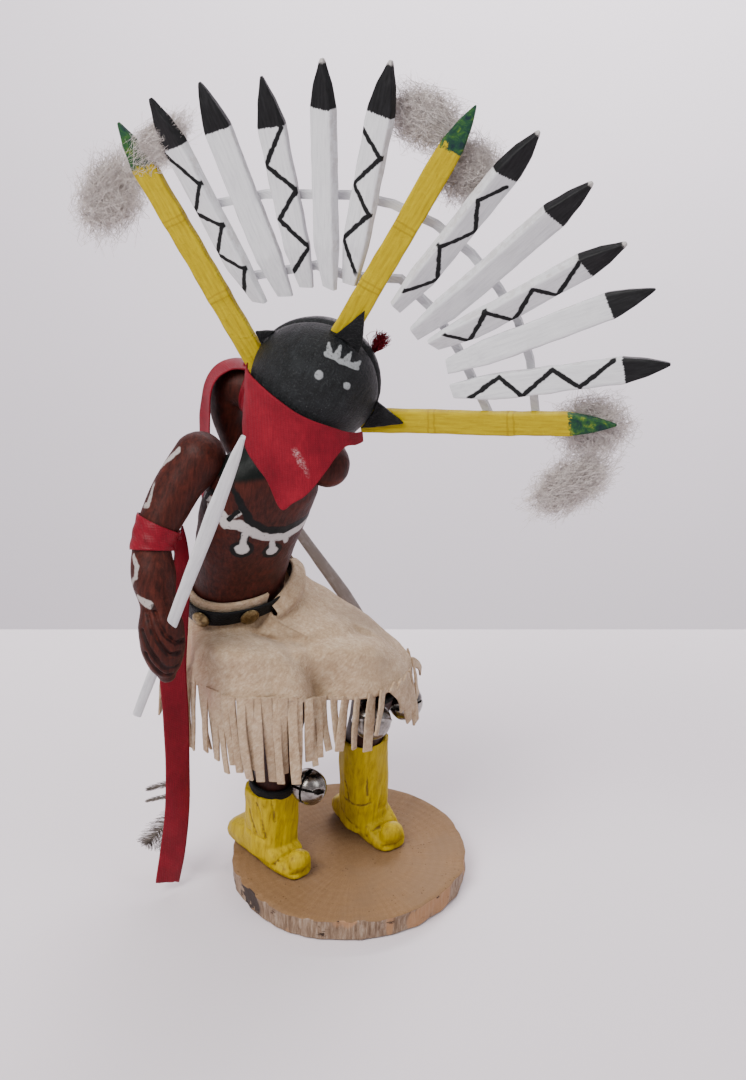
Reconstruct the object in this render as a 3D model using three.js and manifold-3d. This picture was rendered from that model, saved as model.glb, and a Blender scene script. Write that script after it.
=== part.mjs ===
import * as THREE from "three";
import { mergeVertices } from "three/addons/utils/BufferGeometryUtils.js";
import Module from "manifold-3d";

const wasm = await Module();
wasm.setup();

// Sizes in mm, +Z up, the viewer on the -Y side, origin under the middle of the base.
const fit = 0.3;
const baseRadius = 44.5;
const baseThickness = 9;
const headRadius = 21;
const headCentre = new THREE.Vector3(-8.6, -18, 208.8);
const torsoFacing = 22;
const slatWidth = 8.6;
const slatThickness = 4.2;
const yellowWidth = 7.8;
const yellowThickness = 3.6;
const slatTip = 15;
const fanRadius = 128.4;
const stickSize = 2.4;
const kiltWall = 1.2;
const fringeStrips = 30;
const beltHeight = 8;
const beltWall = 1.2;
const conchoRadius = 3.4;
const conchos = 7;
const bellRadius = 6.6;
const bellWall = 0.6;
const ribbonWidth = 10;
const ribbonWall = 0.7;
const clothWall = 0.8;
const swordWidth = 5.2;
const swordThickness = 3;

const colours = {
  slice: 0xb08a66,
  skin: 0x4a1f16,
  mask: 0x1d2022,
  white: 0xe9e8ea,
  yellow: 0xe2c312,
  boot: 0xd9bf1c,
  suede: 0xddd2bf,
  leather: 0x15171a,
  cloth: 0xb5202d,
  brass: 0xa08850,
  nickel: 0xb9b7b2,
  feather: 0x6d655c,
  wool: 0xb9b2ad,
};

const group = new THREE.Group();
const solids = {};

const vec = (x, y, z) => new THREE.Vector3(x, y, z);
const rad = THREE.MathUtils.degToRad;

function solidOf(geometry) {
  const bare = new THREE.BufferGeometry();
  bare.setAttribute("position", geometry.getAttribute("position").clone());
  if (geometry.index) bare.setIndex(geometry.index);
  const merged = mergeVertices(bare, 1e-4);
  const triVerts = new Uint32Array(merged.index.array);
  const vertProperties = merged.getAttribute("position").array;
  const build = () => new wasm.Manifold(new wasm.Mesh({ numProp: 3, vertProperties, triVerts }));
  let solid = build();
  if (solid.volume() < 0) {
    for (let i = 0; i < triVerts.length; i += 3) {
      [triVerts[i + 1], triVerts[i + 2]] = [triVerts[i + 2], triVerts[i + 1]];
    }
    solid = build();
  }
  return solid;
}

function geometryOf(solid) {
  const mesh = solid.getMesh();
  const geometry = new THREE.BufferGeometry();
  geometry.setAttribute("position", new THREE.BufferAttribute(new Float32Array(mesh.vertProperties), 3));
  geometry.setIndex(new THREE.BufferAttribute(new Uint32Array(mesh.triVerts), 1));
  geometry.computeVertexNormals();
  return geometry;
}

function place(name, solid, colour, roughness = 0.7, metalness = 0) {
  const material = new THREE.MeshStandardMaterial({ color: colours[colour], roughness, metalness });
  const mesh = new THREE.Mesh(geometryOf(solid), material);
  mesh.name = name;
  group.add(mesh);
  solids[name] = solid;
}

// A closed solid through rings of points, each ring closed on itself.
function skin(rings) {
  const around = rings[0].length;
  const positions = [];
  const index = [];
  const middle = (ring) => ring.reduce((sum, p) => sum.add(p), vec(0, 0, 0)).divideScalar(around);
  for (const ring of rings) for (const p of ring) positions.push(p.x, p.y, p.z);
  for (const ring of [rings[0], rings.at(-1)]) {
    const m = middle(ring);
    positions.push(m.x, m.y, m.z);
  }
  const first = rings.length * around;
  for (let j = 0; j < around; j++) {
    const k = (j + 1) % around;
    for (let i = 0; i + 1 < rings.length; i++) {
      const a = i * around;
      const b = a + around;
      index.push(a + j, a + k, b + k, a + j, b + k, b + j);
    }
    const last = (rings.length - 1) * around;
    index.push(first, k, j, first + 1, last + j, last + k);
  }
  const geometry = new THREE.BufferGeometry();
  geometry.setAttribute("position", new THREE.Float32BufferAttribute(positions, 3));
  geometry.setIndex(index);
  return solidOf(geometry);
}

// A ring of points round a centre, in the plane of two directions; power 2 is an ellipse.
function ring(centre, side, front, wide, deep, around = 16, power = 2) {
  const points = [];
  for (let j = 0; j < around; j++) {
    const a = (2 * Math.PI * j) / around;
    const bend = (c) => Math.sign(c) * Math.pow(Math.abs(c), 2 / power);
    points.push(
      centre
        .clone()
        .addScaledVector(side, wide * bend(Math.cos(a)))
        .addScaledVector(front, deep * bend(Math.sin(a))),
    );
  }
  return points;
}

// Stations are [x, y, z, wide, deep]; the body between them follows a smooth curve.
function along(stations, sideHint) {
  const curve = new THREE.CatmullRomCurve3(stations.map((s) => vec(s[0], s[1], s[2])), false, "centripetal");
  const sizes = new THREE.CatmullRomCurve3(stations.map((s) => vec(s[3], s[4], 0)), false, "centripetal");
  return (t) => {
    const tangent = curve.getTangent(t);
    const front = vec().crossVectors(tangent, sideHint).normalize();
    const side = vec().crossVectors(front, tangent).normalize();
    return { centre: curve.getPoint(t), tangent, front, side, size: sizes.getPoint(t) };
  };
}

function limb(stations, sideHint, { steps = 12, around = 14, grow = 0, power = 2, ends = true } = {}) {
  const at = along(stations, sideHint);
  const rings = [];
  const ringAt = (t, shrink, push) => {
    const { centre, tangent, front, side, size } = at(t);
    centre.addScaledVector(tangent, push * (size.y + grow));
    rings.push(ring(centre, side, front, (size.x + grow) * shrink, (size.y + grow) * shrink, around, power));
  };
  if (ends) for (const a of [70, 38]) ringAt(0, Math.cos(rad(a)), -Math.sin(rad(a)));
  for (let i = 0; i <= steps; i++) ringAt(i / steps, 1, 0);
  if (ends) for (const a of [38, 70]) ringAt(1, Math.cos(rad(a)), Math.sin(rad(a)));
  return skin(rings);
}

// A sheet with a wall, from a grid of outer and inner points; a missing cell is a cut through it.
function sheet(outer, inner, closed, missing = () => false) {
  const rows = outer.length;
  const columns = outer[0].length;
  const positions = [];
  const index = [];
  for (const grid of [outer, inner]) for (const row of grid) for (const p of row) positions.push(p.x, p.y, p.z);
  const top = (i, j) => i * columns + (j % columns);
  const under = (i, j) => top(i, j) + rows * columns;
  const cells = closed ? columns : columns - 1;
  const present = (i, j) => {
    if (i < 0 || i >= rows - 1) return false;
    if (!closed && (j < 0 || j >= cells)) return false;
    return !missing(i, (j + cells) % cells);
  };
  const quad = (a, b, c, d) => index.push(a, b, c, a, c, d);
  for (let i = 0; i < rows - 1; i++) {
    for (let j = 0; j < cells; j++) {
      if (!present(i, j)) continue;
      quad(top(i, j), top(i, j + 1), top(i + 1, j + 1), top(i + 1, j));
      quad(under(i, j), under(i + 1, j), under(i + 1, j + 1), under(i, j + 1));
      if (!present(i - 1, j)) quad(top(i, j + 1), top(i, j), under(i, j), under(i, j + 1));
      if (!present(i + 1, j)) quad(top(i + 1, j), top(i + 1, j + 1), under(i + 1, j + 1), under(i + 1, j));
      if (!present(i, j - 1)) quad(top(i, j), top(i + 1, j), under(i + 1, j), under(i, j));
      if (!present(i, j + 1)) quad(top(i + 1, j + 1), top(i, j + 1), under(i, j + 1), under(i + 1, j + 1));
    }
  }
  const geometry = new THREE.BufferGeometry();
  geometry.setAttribute("position", new THREE.Float32BufferAttribute(positions, 3));
  geometry.setIndex(index);
  const used = mergeVertices(geometry.toNonIndexed(), 1e-4);
  return solidOf(used);
}

// A strip of cloth along a path, its width turned by a number of degrees from image right.
function strip(stations, width, wall, steps) {
  const curve = new THREE.CatmullRomCurve3(stations.map((s) => vec(s[0], s[1], s[2])), false, "centripetal");
  const turns = new THREE.CatmullRomCurve3(stations.map((s) => vec(s[3], 0, 0)), false, "centripetal");
  const rings = [];
  for (let i = 0; i <= steps; i++) {
    const t = i / steps;
    const turn = rad(turns.getPoint(t).x);
    const across = vec(Math.cos(turn), Math.sin(turn), 0);
    const tangent = curve.getTangent(t);
    const face = vec().crossVectors(tangent, across).normalize();
    const side = vec().crossVectors(face, tangent).normalize();
    const centre = curve.getPoint(t);
    const corner = (a, b) => centre.clone().addScaledVector(side, (a * width) / 2).addScaledVector(face, (b * wall) / 2);
    rings.push([corner(-1, -1), corner(1, -1), corner(1, 1), corner(-1, 1)]);
  }
  return skin(rings);
}

const wobble = (a, seed) => Math.sin(3 * a + seed) + 0.6 * Math.sin(7 * a + 2.3 * seed) + 0.4 * Math.sin(13 * a + seed);

// Log slice
const sliceRing = (z, shrink) => {
  const points = [];
  for (let j = 0; j < 42; j++) {
    const a = (2 * Math.PI * j) / 42;
    const r = baseRadius - shrink + 0.35 * wobble(a, 1.3);
    points.push(vec(0.7 + r * Math.cos(a), 1.6 + r * Math.sin(a), z));
  }
  return points;
};
place("base_slice", skin([sliceRing(0, 0.6), sliceRing(baseThickness, 0)]), "slice", 0.8);

// Head: a dome with a groove round it where the fan stands
const fanNormal = vec(-0.212, -0.976, -0.031).normalize();
const fanUp = vec(0.418, -0.119, 0.9).addScaledVector(fanNormal, -vec(0.418, -0.119, 0.9).dot(fanNormal)).normalize();
const fanRight = vec().crossVectors(fanUp, fanNormal);
const onHead = (right, up, out) =>
  headCentre.clone().addScaledVector(fanRight, right).addScaledVector(fanUp, up).addScaledVector(fanNormal, out);

function headSolid(grow) {
  const rings = [];
  const steps = 13;
  for (let i = 0; i < steps; i++) {
    const a = rad(-86 + (172 * i) / (steps - 1));
    const out = Math.sin(a) * (headRadius + grow);
    const groove = grow > 0 ? 0 : 0.9 * Math.exp(-Math.pow((out + 1.2) / 1.1, 2));
    const behind = out < -2.4 ? 0.5 : 0;
    const r = Math.cos(a) * (headRadius + behind + grow) - groove;
    rings.push(ring(onHead(0, 0, out), fanRight, fanUp, r, r, 22));
  }
  return skin(rings);
}

// Body: torso, neck, thighs and shins
const facing = vec(Math.cos(rad(torsoFacing)), Math.sin(rad(torsoFacing)), 0);
const torsoPower = 2.2;
const torso = [
  [-38, 15.5, 99, 12, 9],
  [-38.6, 15, 107, 16.4, 12],
  [-38.6, 13, 117, 17, 12.5],
  [-36.4, 8.5, 130, 17.2, 12.5],
  [-33.2, 3, 145, 18.6, 13.2],
  [-29.8, -0.5, 157, 19.6, 13.2],
  [-25.8, -3.5, 167, 19.6, 12],
  [-22, -5.5, 174, 15, 10],
  [-19, -7.5, 179, 10.5, 9],
  [-15, -12, 189, 9.5, 9],
  [-12, -15, 197, 9, 9],
];
const rightLeg = [
  [-40, 9, 100, 8, 8],
  [-32, -3, 95.5, 7.8, 7.8],
  [-21, -14.8, 90.5, 8.6, 8.6],
  [-22, -13, 78, 8.2, 8.2],
  [-25.5, -7, 58, 7.4, 7.4],
  [-27, -3, 42, 7, 7],
  [-27.5, -2, 34, 6.5, 6.5],
];
const leftLeg = [
  [-30, 17, 101, 8.4, 8.4],
  [-9, 8.5, 96, 7.6, 7.6],
  [9.5, -0.6, 90.5, 8.4, 8.4],
  [10.6, 3.4, 80, 7.6, 7.6],
  [9, 9, 66, 7.2, 7.2],
  [6.8, 12.5, 52, 7, 7],
  [6.6, 13, 45, 6.5, 6.5],
];
const bodyShape = (grow) =>
  limb(torso, facing, { steps: 12, around: 16, grow, power: torsoPower, ends: false })
    .add(limb(rightLeg, facing, { steps: 7, around: 12, grow }))
    .add(limb(leftLeg, facing, { steps: 7, around: 12, grow }));
const headClear = headSolid(fit);
const body = bodyShape(0).subtract(headClear);
const bodyClear = bodyShape(fit);

// Moccasins: foot with a curled toe and an upright shaft, hollow for the shin
function moccasin(centre, heading, length, shaft, shin) {
  const along = vec(Math.cos(rad(heading)), Math.sin(rad(heading)), 0);
  const across = vec(-along.y, along.x, 0);
  const up = vec(0, 0, 1);
  const floor = baseThickness + fit;
  const half = length / 2;
  const profile = [
    [-1, 4, 5],
    [-0.94, 6, 8],
    [-0.75, 7.3, 10.5],
    [-0.4, 8, 13],
    [0.1, 8.3, 13.5],
    [0.5, 8, 9],
    [0.78, 7, 5.5],
    [0.95, 5.4, 4.5],
    [1, 3.4, 3.4],
  ];
  const rings = profile.map(([s, wide, tall]) => {
    const foot = centre.clone().addScaledVector(along, s * half);
    foot.z = floor + tall / 2;
    return ring(foot, across, up, wide, tall / 2, 10, 3.2);
  });
  let solid = skin(rings);
  const toe = centre.clone().addScaledVector(along, half - 2.6);
  const knob = [];
  for (const [rise, lean, wide, deep] of [
    [2, 0, 3, 2],
    [3.5, 0, 4.6, 3.2],
    [6, 0.6, 5.2, 3.6],
    [8.4, 0.2, 4.8, 3.2],
    [10, -0.6, 3, 2],
  ]) {
    const c = toe.clone().addScaledVector(along, lean);
    c.z = floor + rise;
    knob.push(ring(c, across, along, wide, deep, 8, 2.4));
  }
  solid = solid.add(skin(knob));
  const upper = shaft.map(([x, y, z, wide, deep]) => ring(vec(x, y, z), across, along, wide, deep, 12, 2.6));
  return solid.add(skin(upper)).subtract(shin);
}
const rightShaft = [
  [-28.3, -1.6, baseThickness + 4, 9.6, 9.6],
  [-28, -1.8, 20, 9.4, 9.4],
  [-27.6, -2, 30, 9.7, 9.2],
  [-27.2, -2.4, 41, 9.9, 9.2],
];
const leftShaft = [
  [7, 14.2, baseThickness + 4, 8.8, 9.2],
  [6.8, 14, 22, 8.7, 8.8],
  [6.7, 13.6, 38, 8.9, 8.6],
  [6.6, 13, 53, 9, 8.6],
];
const rightBoot = moccasin(vec(-29, -1.8, 0), -49, 40, rightShaft, bodyClear);
const leftBoot = moccasin(vec(8.4, 14.6, 0), -54, 35, leftShaft, bodyClear);

// Arms
const rightArmPath = [
  [-48.2, -7.5, 177, 9, 9],
  [-54, -9.5, 170, 8.3, 8.8],
  [-60.4, -13.5, 159.5, 7.5, 8.2],
  [-64.4, -17.5, 150, 6.5, 7.4],
  [-64.2, -22.5, 140, 7.8, 7.6],
  [-62.6, -26.5, 131, 6.2, 6],
  [-61.8, -29, 124, 7.8, 7.2],
  [-61.4, -30.5, 117, 7.8, 7.8],
  [-61, -31, 110, 5.6, 6],
  [-60.6, -31, 106.5, 3.4, 3.6],
];
const leftArmPath = [
  [-5.4, 4.5, 169, 8, 8],
  [-9, 11, 172, 8.2, 8.2],
  [-19.5, 20.5, 180.5, 8, 8],
  [-31, 26.5, 187.5, 7.8, 7.8],
  [-38.2, 29.5, 188.6, 7.6, 7.6],
  [-41, 31.5, 180, 6.9, 6.9],
  [-39, 32, 169, 6.3, 6.3],
  [-35, 32, 159.5, 6, 6],
  [-31.5, 32.5, 151.5, 7.4, 7.4],
  [-28, 33, 144.5, 5.5, 5.5],
];
const armHint = vec(0.93, 0.37, 0);
const backHint = vec(0.4, -0.9, 0.2);

function sword(from, to, faceHint, grow) {
  const along = to.clone().sub(from).normalize();
  const side = vec().crossVectors(along, faceHint).normalize();
  const face = vec().crossVectors(side, along).normalize();
  const length = from.distanceTo(to);
  const rings = [];
  for (const [t, w] of [
    [0, 0.34],
    [0.06, 0.66],
    [0.24, 1],
    [0.5, 0.82],
    [0.72, 0.72],
    [1, 0.62],
  ]) {
    const c = from.clone().addScaledVector(along, t * length + (t === 1 ? grow : 0));
    const corner = (a, b) =>
      c
        .clone()
        .addScaledVector(side, a * ((swordWidth * w) / 2 + grow))
        .addScaledVector(face, b * (swordThickness / 2 + grow) * (0.55 + 0.45 * w));
    rings.push([corner(-1, -0.6), corner(0, -1), corner(1, -0.6), corner(1, 0.8), corner(-1, 0.8)]);
  }
  return skin(rings);
}
const rightSwordEnds = [vec(-30, -52, 204.3), vec(-73, -22, 84)];
const leftSwordEnds = [vec(9.5, 60.5, 71), vec(-34.5, 30, 158)];
const swordHint = vec(0.1, -0.9, 0.4);
const gripClear = 1.5 * fit;
const swordAt = (ends, grow) => sword(ends[0], ends[1], swordHint, grow);

const rightArm = limb(rightArmPath, armHint, { steps: 14, around: 12 })
  .subtract(bodyClear)
  .subtract(swordAt(rightSwordEnds, gripClear));
const leftArm = limb(leftArmPath, backHint, { steps: 14, around: 12 })
  .subtract(bodyShape(1.4 * fit))
  .subtract(headClear)
  .subtract(swordAt(leftSwordEnds, gripClear));

// Fan of slats: tip angle and radius, root angle and radius about the fan's centre, twist
const fanCentre = [-1.5, -16.1];
const slatBack = -4.25;
const whiteSlats = [
  [-47.6, fanRadius - 15.9, -39.9, 40.8, -24],
  [-39.2, fanRadius - 15.5, -27.6, 41.8, 3],
  [-29.1, fanRadius - 15.6, -18.6, 45.7, 3],
  [-19.6, fanRadius - 8.3, -9.9, 48.1, -30],
  [-10, fanRadius - 4.1, -3.4, 51.8, -20],
  [12.2, fanRadius - 0.3, 15, 54, 34],
  [22.1, fanRadius, 26, 52.2, 24],
  [31.7, fanRadius - 2.2, 32.6, 55.4, 24],
  [39.4, fanRadius - 0.7, 40.7, 56, -15],
  [50.8, fanRadius - 2.9, 49.8, 54.7, -10],
];
const yellowSlats = {
  left: [-55, fanRadius - 18.8, -57.9, 19, 0],
  middle: [3.2, fanRadius - 6.1, 4.2, 33, 0, 4.2],
  right: [60.8, fanRadius - 21.7, 63.2, 23, 0],
};
const inFan = (angle, radius, out) =>
  onHead(fanCentre[0] + radius * Math.sin(rad(angle)), fanCentre[1] + radius * Math.cos(rad(angle)), out);

function slat([tipAngle, tipRadius, rootAngle, rootRadius, twist, forward = 0], width, thick, grow, stations) {
  const reach = (width / 2) * Math.abs(Math.sin(rad(twist))) + (thick / 2) * Math.cos(rad(twist));
  const root = inFan(rootAngle, rootRadius, slatBack + reach + forward);
  const tip = inFan(tipAngle, tipRadius, slatBack + reach);
  const along = tip.clone().sub(root).normalize();
  const face = fanNormal.clone().applyAxisAngle(along, rad(twist));
  const side = vec().crossVectors(along, face).normalize();
  const length = tip.distanceTo(root);
  const bevel = 0.86;
  const rings = stations(length).map(([s, wide, deep, slant]) => {
    const w = (width / 2) * wide + grow;
    const h = (thick / 2) * deep + grow;
    const end = s === 0 ? s - grow : s;
    const sink = ((thick / 2) * (1 - deep)) / 1;
    const corner = (a, b) =>
      root
        .clone()
        .addScaledVector(along, end + slant * a)
        .addScaledVector(side, a * w)
        .addScaledVector(face, b * h - (s < length / 2 ? sink : 0));
    return [corner(-1, -1), corner(1, -1), corner(1, 0.7), corner(bevel, 1), corner(-bevel, 1), corner(-1, 0.7)];
  });
  return skin(rings);
}
const whiteStations = (slant) => (length) => [
  [0, 0.54, 0.5, slant],
  [14, 0.95, 1, 0],
  [length - slatTip, 1, 1, 0],
  [length - slatTip * 0.5, 0.64, 0.84, 0],
  [length, 0.1, 0.26, 0],
];
const yellowStations = (length) => [
  [0, 1, 1, 0],
  [length - slatTip, 1, 1, 0],
  [length - slatTip * 0.5, 0.64, 0.84, 0],
  [length, 0.08, 0.26, 0],
];
const yellow = (row, grow) => slat(row, yellowWidth, yellowThickness, grow, yellowStations);
let head = headSolid(0);
for (const row of Object.values(yellowSlats)) head = head.subtract(yellow(row, fit));

const rootCuts = [-1.6, -1.2, -0.8, -0.5, 0.4, -1.4, -1.2, 1.2, -0.9, 0.7];
whiteSlats.forEach((row, i) => {
  const solid = slat(row, slatWidth, slatThickness, 0, whiteStations(rootCuts[i]));
  place(`white_slat_${i + 1}`, solid, "white");
});
for (const [name, row] of Object.entries(yellowSlats)) place(`yellow_slat_${name}`, yellow(row, 0), "yellow");

// Rows of thin sticks glued to the backs of the slats: angle and radius of each joint
const stickOut = slatBack - fit - stickSize / 2;
function stickRow(points) {
  const centres = points.map(([angle, radius]) => inFan(angle, radius, stickOut));
  const half = stickSize / 2;
  const rings = centres.map((c, i) => {
    const before = centres[Math.max(i - 1, 0)];
    const after = centres[Math.min(i + 1, centres.length - 1)];
    const along = after.clone().sub(before).normalize();
    const side = vec().crossVectors(along, fanNormal).normalize();
    const corner = (a, b) => c.clone().addScaledVector(side, a * half).addScaledVector(fanNormal, b * half);
    return [corner(-1, -1), corner(1, -1), corner(1, 1), corner(-1, 1)];
  });
  return skin(rings);
}
const outerJoints = [
  [-47, 74.4],
  [-31.5, 74.7],
  [-21.3, 75.3],
  [-11, 78.3],
  [-1.5, 80.8],
  [8.7, 82.6],
  [18.8, 83],
  [28.3, 82.7],
  [36.7, 82.7],
  [46.2, 81.6],
  [61, 80.4],
];
const innerJoints = [
  [-42, 48.5],
  [-16.6, 52.6],
  [-5, 52.4],
  [10.2, 60.8],
  [24, 61],
  [38.4, 60.7],
  [46.3, 61.3],
  [61, 65.6],
];
const outerStick = stickRow(outerJoints);
const innerStick = stickRow(innerJoints);
place("outer_stick", outerStick, "white");
place("inner_stick", innerStick, "white");

place("mask_head", head, "mask", 0.6);
place("carved_body", body, "skin", 0.6);
place("right_moccasin", rightBoot, "boot");
place("left_moccasin", leftBoot, "boot");
place("right_arm", rightArm, "skin", 0.6);
place("left_arm", leftArm, "skin", 0.6);
place("right_sword", swordAt(rightSwordEnds, 0), "white");
place("left_sword", swordAt(leftSwordEnds, 0), "white");

// Kilt: round the waist, out over the raised knees, then down to a cut fringe
const torsoAt = along(torso, facing);
function onTorso(t, angle, grow) {
  const { centre, front, side, size } = torsoAt(t);
  const bend = (c) => Math.sign(c) * Math.pow(Math.abs(c), 2 / torsoPower);
  return centre
    .addScaledVector(side, (size.x + grow) * bend(Math.cos(angle)))
    .addScaledVector(front, (size.y + grow) * bend(Math.sin(angle)));
}
const firstConcho = -92;
const beltMiddle = 0.2;
const beltSlope = 0.028;
const torsoStep = 0.0083;
const beltAt = (angle, height, grow) =>
  onTorso(beltMiddle + beltSlope * Math.cos(angle) + height * torsoStep, angle, grow);
const beltClear = 2 * fit + kiltWall + 2 * fit;
const kiltCentre = [-24, 12];
// azimuth, radius and height over the lap, at the top of the fringe and at its end
const kiltStations = [
  [-158, 34, 101, 37, 88, 37, 60],
  [-135, 34, 104, 36, 89, 35, 60],
  [-112, 33, 107, 38, 91, 36, 58],
  [-90, 32, 107, 38, 92, 37, 58],
  [-75, 31, 105, 36, 90, 35, 60],
  [-60, 26, 101.5, 31.5, 85.5, 33.5, 64],
  [-42, 33, 103, 42, 87, 42, 66],
  [-22, 38, 102.5, 48.5, 87, 50, 67],
  [0, 36, 98.5, 48.5, 83, 50, 64],
  [30, 32, 99.5, 45, 82, 46, 62],
  [60, 31, 101, 42, 80, 43, 61],
  [90, 31, 102, 40, 80, 42, 60],
  [120, 32, 101, 42, 80, 43, 60],
  [152, 33, 101, 44, 82, 45, 60],
  [180, 34, 100, 42, 84, 43, 61],
];
function kiltSize(azimuth) {
  const count = kiltStations.length;
  let a = azimuth;
  while (a < -158) a += 360;
  while (a >= 202) a -= 360;
  const row = (i) => {
    const lap = Math.floor(i / count);
    const values = kiltStations[((i % count) + count) % count].slice();
    values[0] += 360 * lap;
    return values;
  };
  let i = 0;
  while (row(i + 1)[0] <= a) i++;
  const [before, from, to, after] = [row(i - 1), row(i), row(i + 1), row(i + 2)];
  const t = (a - from[0]) / (to[0] - from[0]);
  return from.slice(1).map((value, k) => {
    const c = k + 1;
    const rise = (to[c] - before[c]) / 2;
    const fall = (after[c] - from[c]) / 2;
    const t2 = t * t;
    const t3 = t2 * t;
    return (2 * t3 - 3 * t2 + 1) * value + (t3 - 2 * t2 + t) * rise + (3 * t2 - 2 * t3) * to[c] + (t3 - t2) * fall;
  });
}
// on the left hip the suede stands outside the belt, between two slits
const flapFrom = -48;
const flapTo = 48;
const flapLift = 3.7;
const foldDepth = 0.8;
const partedAt = -33;
const openings = [
  [-40, -30],
  [-13, 2],
];
const parting = (azimuth) => {
  const away = azimuth - partedAt;
  return 6 * Math.sign(away) * Math.exp(-Math.pow(away / 30, 2));
};
const onFlap = (azimuth) => azimuth > flapFrom - 0.1 && azimuth < flapTo - 0.1;
// heights above the belt's middle, and the distance out from the body
const kiltTop = (azimuth) =>
  onFlap(azimuth)
    ? [
        [7.4, beltClear + beltWall],
        [2.6, beltClear + beltWall + flapLift],
        [-6.5, beltClear + beltWall + flapLift],
      ]
    : [6.5, 0, -6.5].map((height) => [height, 2 * fit + kiltWall]);
function kiltColumn(azimuth, strip) {
  const [lapRadius, lapHeight, hemRadius, hemHeight, endRadius, endHeight] = kiltSize(azimuth);
  const a = rad(azimuth);
  const at = (radius, height, aside = 0) => {
    const b = a + rad(aside);
    const fold = foldDepth * Math.sin(9 * a + 0.6) * Math.min(1, Math.max(0, (105 - height) / 20));
    const r = radius + fold;
    return vec(kiltCentre[0] + r * Math.cos(b), kiltCentre[1] + r * Math.sin(b), height);
  };
  const cut = 1.6 * Math.sin(5.1 * strip) + 1.1 * Math.sin(2.3 * strip + 1);
  const wave = 0.7 * Math.sin(3.7 * strip);
  const angle = rad(azimuth - torsoFacing);
  const points = kiltTop(azimuth).map(([height, grow]) => beltAt(angle, height, grow));
  const drape = new THREE.CatmullRomCurve3(
    [points[0], points[2], at(lapRadius, lapHeight), at(hemRadius, hemHeight), at(endRadius, endHeight)],
    false,
    "centripetal",
  );
  for (const t of [1.4, 2, 2.5, 3]) points.push(drape.getPoint(t / 4));
  const aside = parting(azimuth);
  points.push(at((hemRadius + endRadius) / 2 + wave, (hemHeight + endHeight) / 2, 0.8 * aside));
  points.push(at(endRadius + 1.4 * wave, endHeight + cut, aside));
  return points;
}
const kiltColumns = [];
for (let k = 0; k < fringeStrips; k++) {
  const pitch = 360 / fringeStrips;
  kiltColumns.push(kiltColumn(-180 + k * pitch, k));
  kiltColumns.push(kiltColumn(-180 + (k + 0.84) * pitch, k));
}
const kiltRows = kiltColumns[0].length;
const kiltOuter = [];
for (let i = 0; i < kiltRows; i++) kiltOuter.push(kiltColumns.map((column) => column[i]));
const stripPitch = 360 / fringeStrips;
const columnAzimuth = (j) => -180 + (Math.floor(j / 2) + (j % 2 ? 0.84 : 0)) * stripPitch;
const kiltInner = kiltOuter.map((row, i) =>
  row.map((p, j) => {
    if (i < 3) {
      const azimuth = columnAzimuth(j);
      const [height, grow] = kiltTop(azimuth)[i];
      return beltAt(rad(azimuth - torsoFacing), height, grow - kiltWall);
    }
    const count = row.length;
    const acrossTo = row[(j + 1) % count].clone().sub(row[(j + count - 1) % count]);
    const up = kiltOuter[Math.max(i - 1, 0)][j].clone().sub(kiltOuter[Math.min(i + 1, kiltRows - 1)][j]);
    const out = vec().crossVectors(acrossTo, up).normalize();
    return p.clone().addScaledVector(out, -kiltWall);
  }),
);
const fringeTop = kiltRows - 3;
const cutAway = (i, j) => {
  if (i < 2) return j % 2 === 1 && onFlap(columnAzimuth(j)) !== onFlap(columnAzimuth((j + 1) % (2 * fringeStrips)));
  if (i < fringeTop) return false;
  if (j % 2 === 1) return true;
  const azimuth = -180 + ((j / 2) * 360) / fringeStrips;
  return openings.some(([from, to]) => azimuth > from && azimuth < to);
};
const kilt = sheet(kiltOuter, kiltInner, true, cutAway);
place("suede_kilt", kilt, "suede", 0.95);

// Belt and its brass discs
const beltGrid = (grow) =>
  [beltHeight / 2, -beltHeight / 2].map((height) => {
    const row = [];
    for (let j = 0; j < 30; j++) row.push(beltAt((2 * Math.PI * j) / 30, height, grow));
    return row;
  });
place("belt", sheet(beltGrid(beltClear + beltWall), beltGrid(beltClear), true), "leather", 0.5);
for (let k = 0; k < conchos; k++) {
  const angle = rad(firstConcho + (360 / conchos) * k);
  const middle = beltAt(angle, 0, beltClear + beltWall);
  const sideways = beltAt(angle + 0.1, 0, beltClear + beltWall).sub(beltAt(angle - 0.1, 0, beltClear + beltWall));
  const upward = beltAt(angle, 2, beltClear + beltWall).sub(beltAt(angle, -2, beltClear + beltWall)).normalize();
  const out = vec().crossVectors(sideways.normalize(), upward).normalize();
  if (out.dot(middle.clone().sub(torsoAt(beltMiddle).centre)) < 0) out.negate();
  const disc = [
    [fit + 0.3, 1],
    [fit + 0.9, 1],
    [fit + 1.4, 0.72],
    [fit + 1.6, 0.3],
  ].map(([lift, size]) => {
    const r = conchoRadius * size;
    return ring(middle.clone().addScaledVector(out, lift), sideways, upward, r, r, 8);
  });
  place(`concho_${k + 1}`, skin(disc), "brass", 0.35, 1);
}

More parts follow.
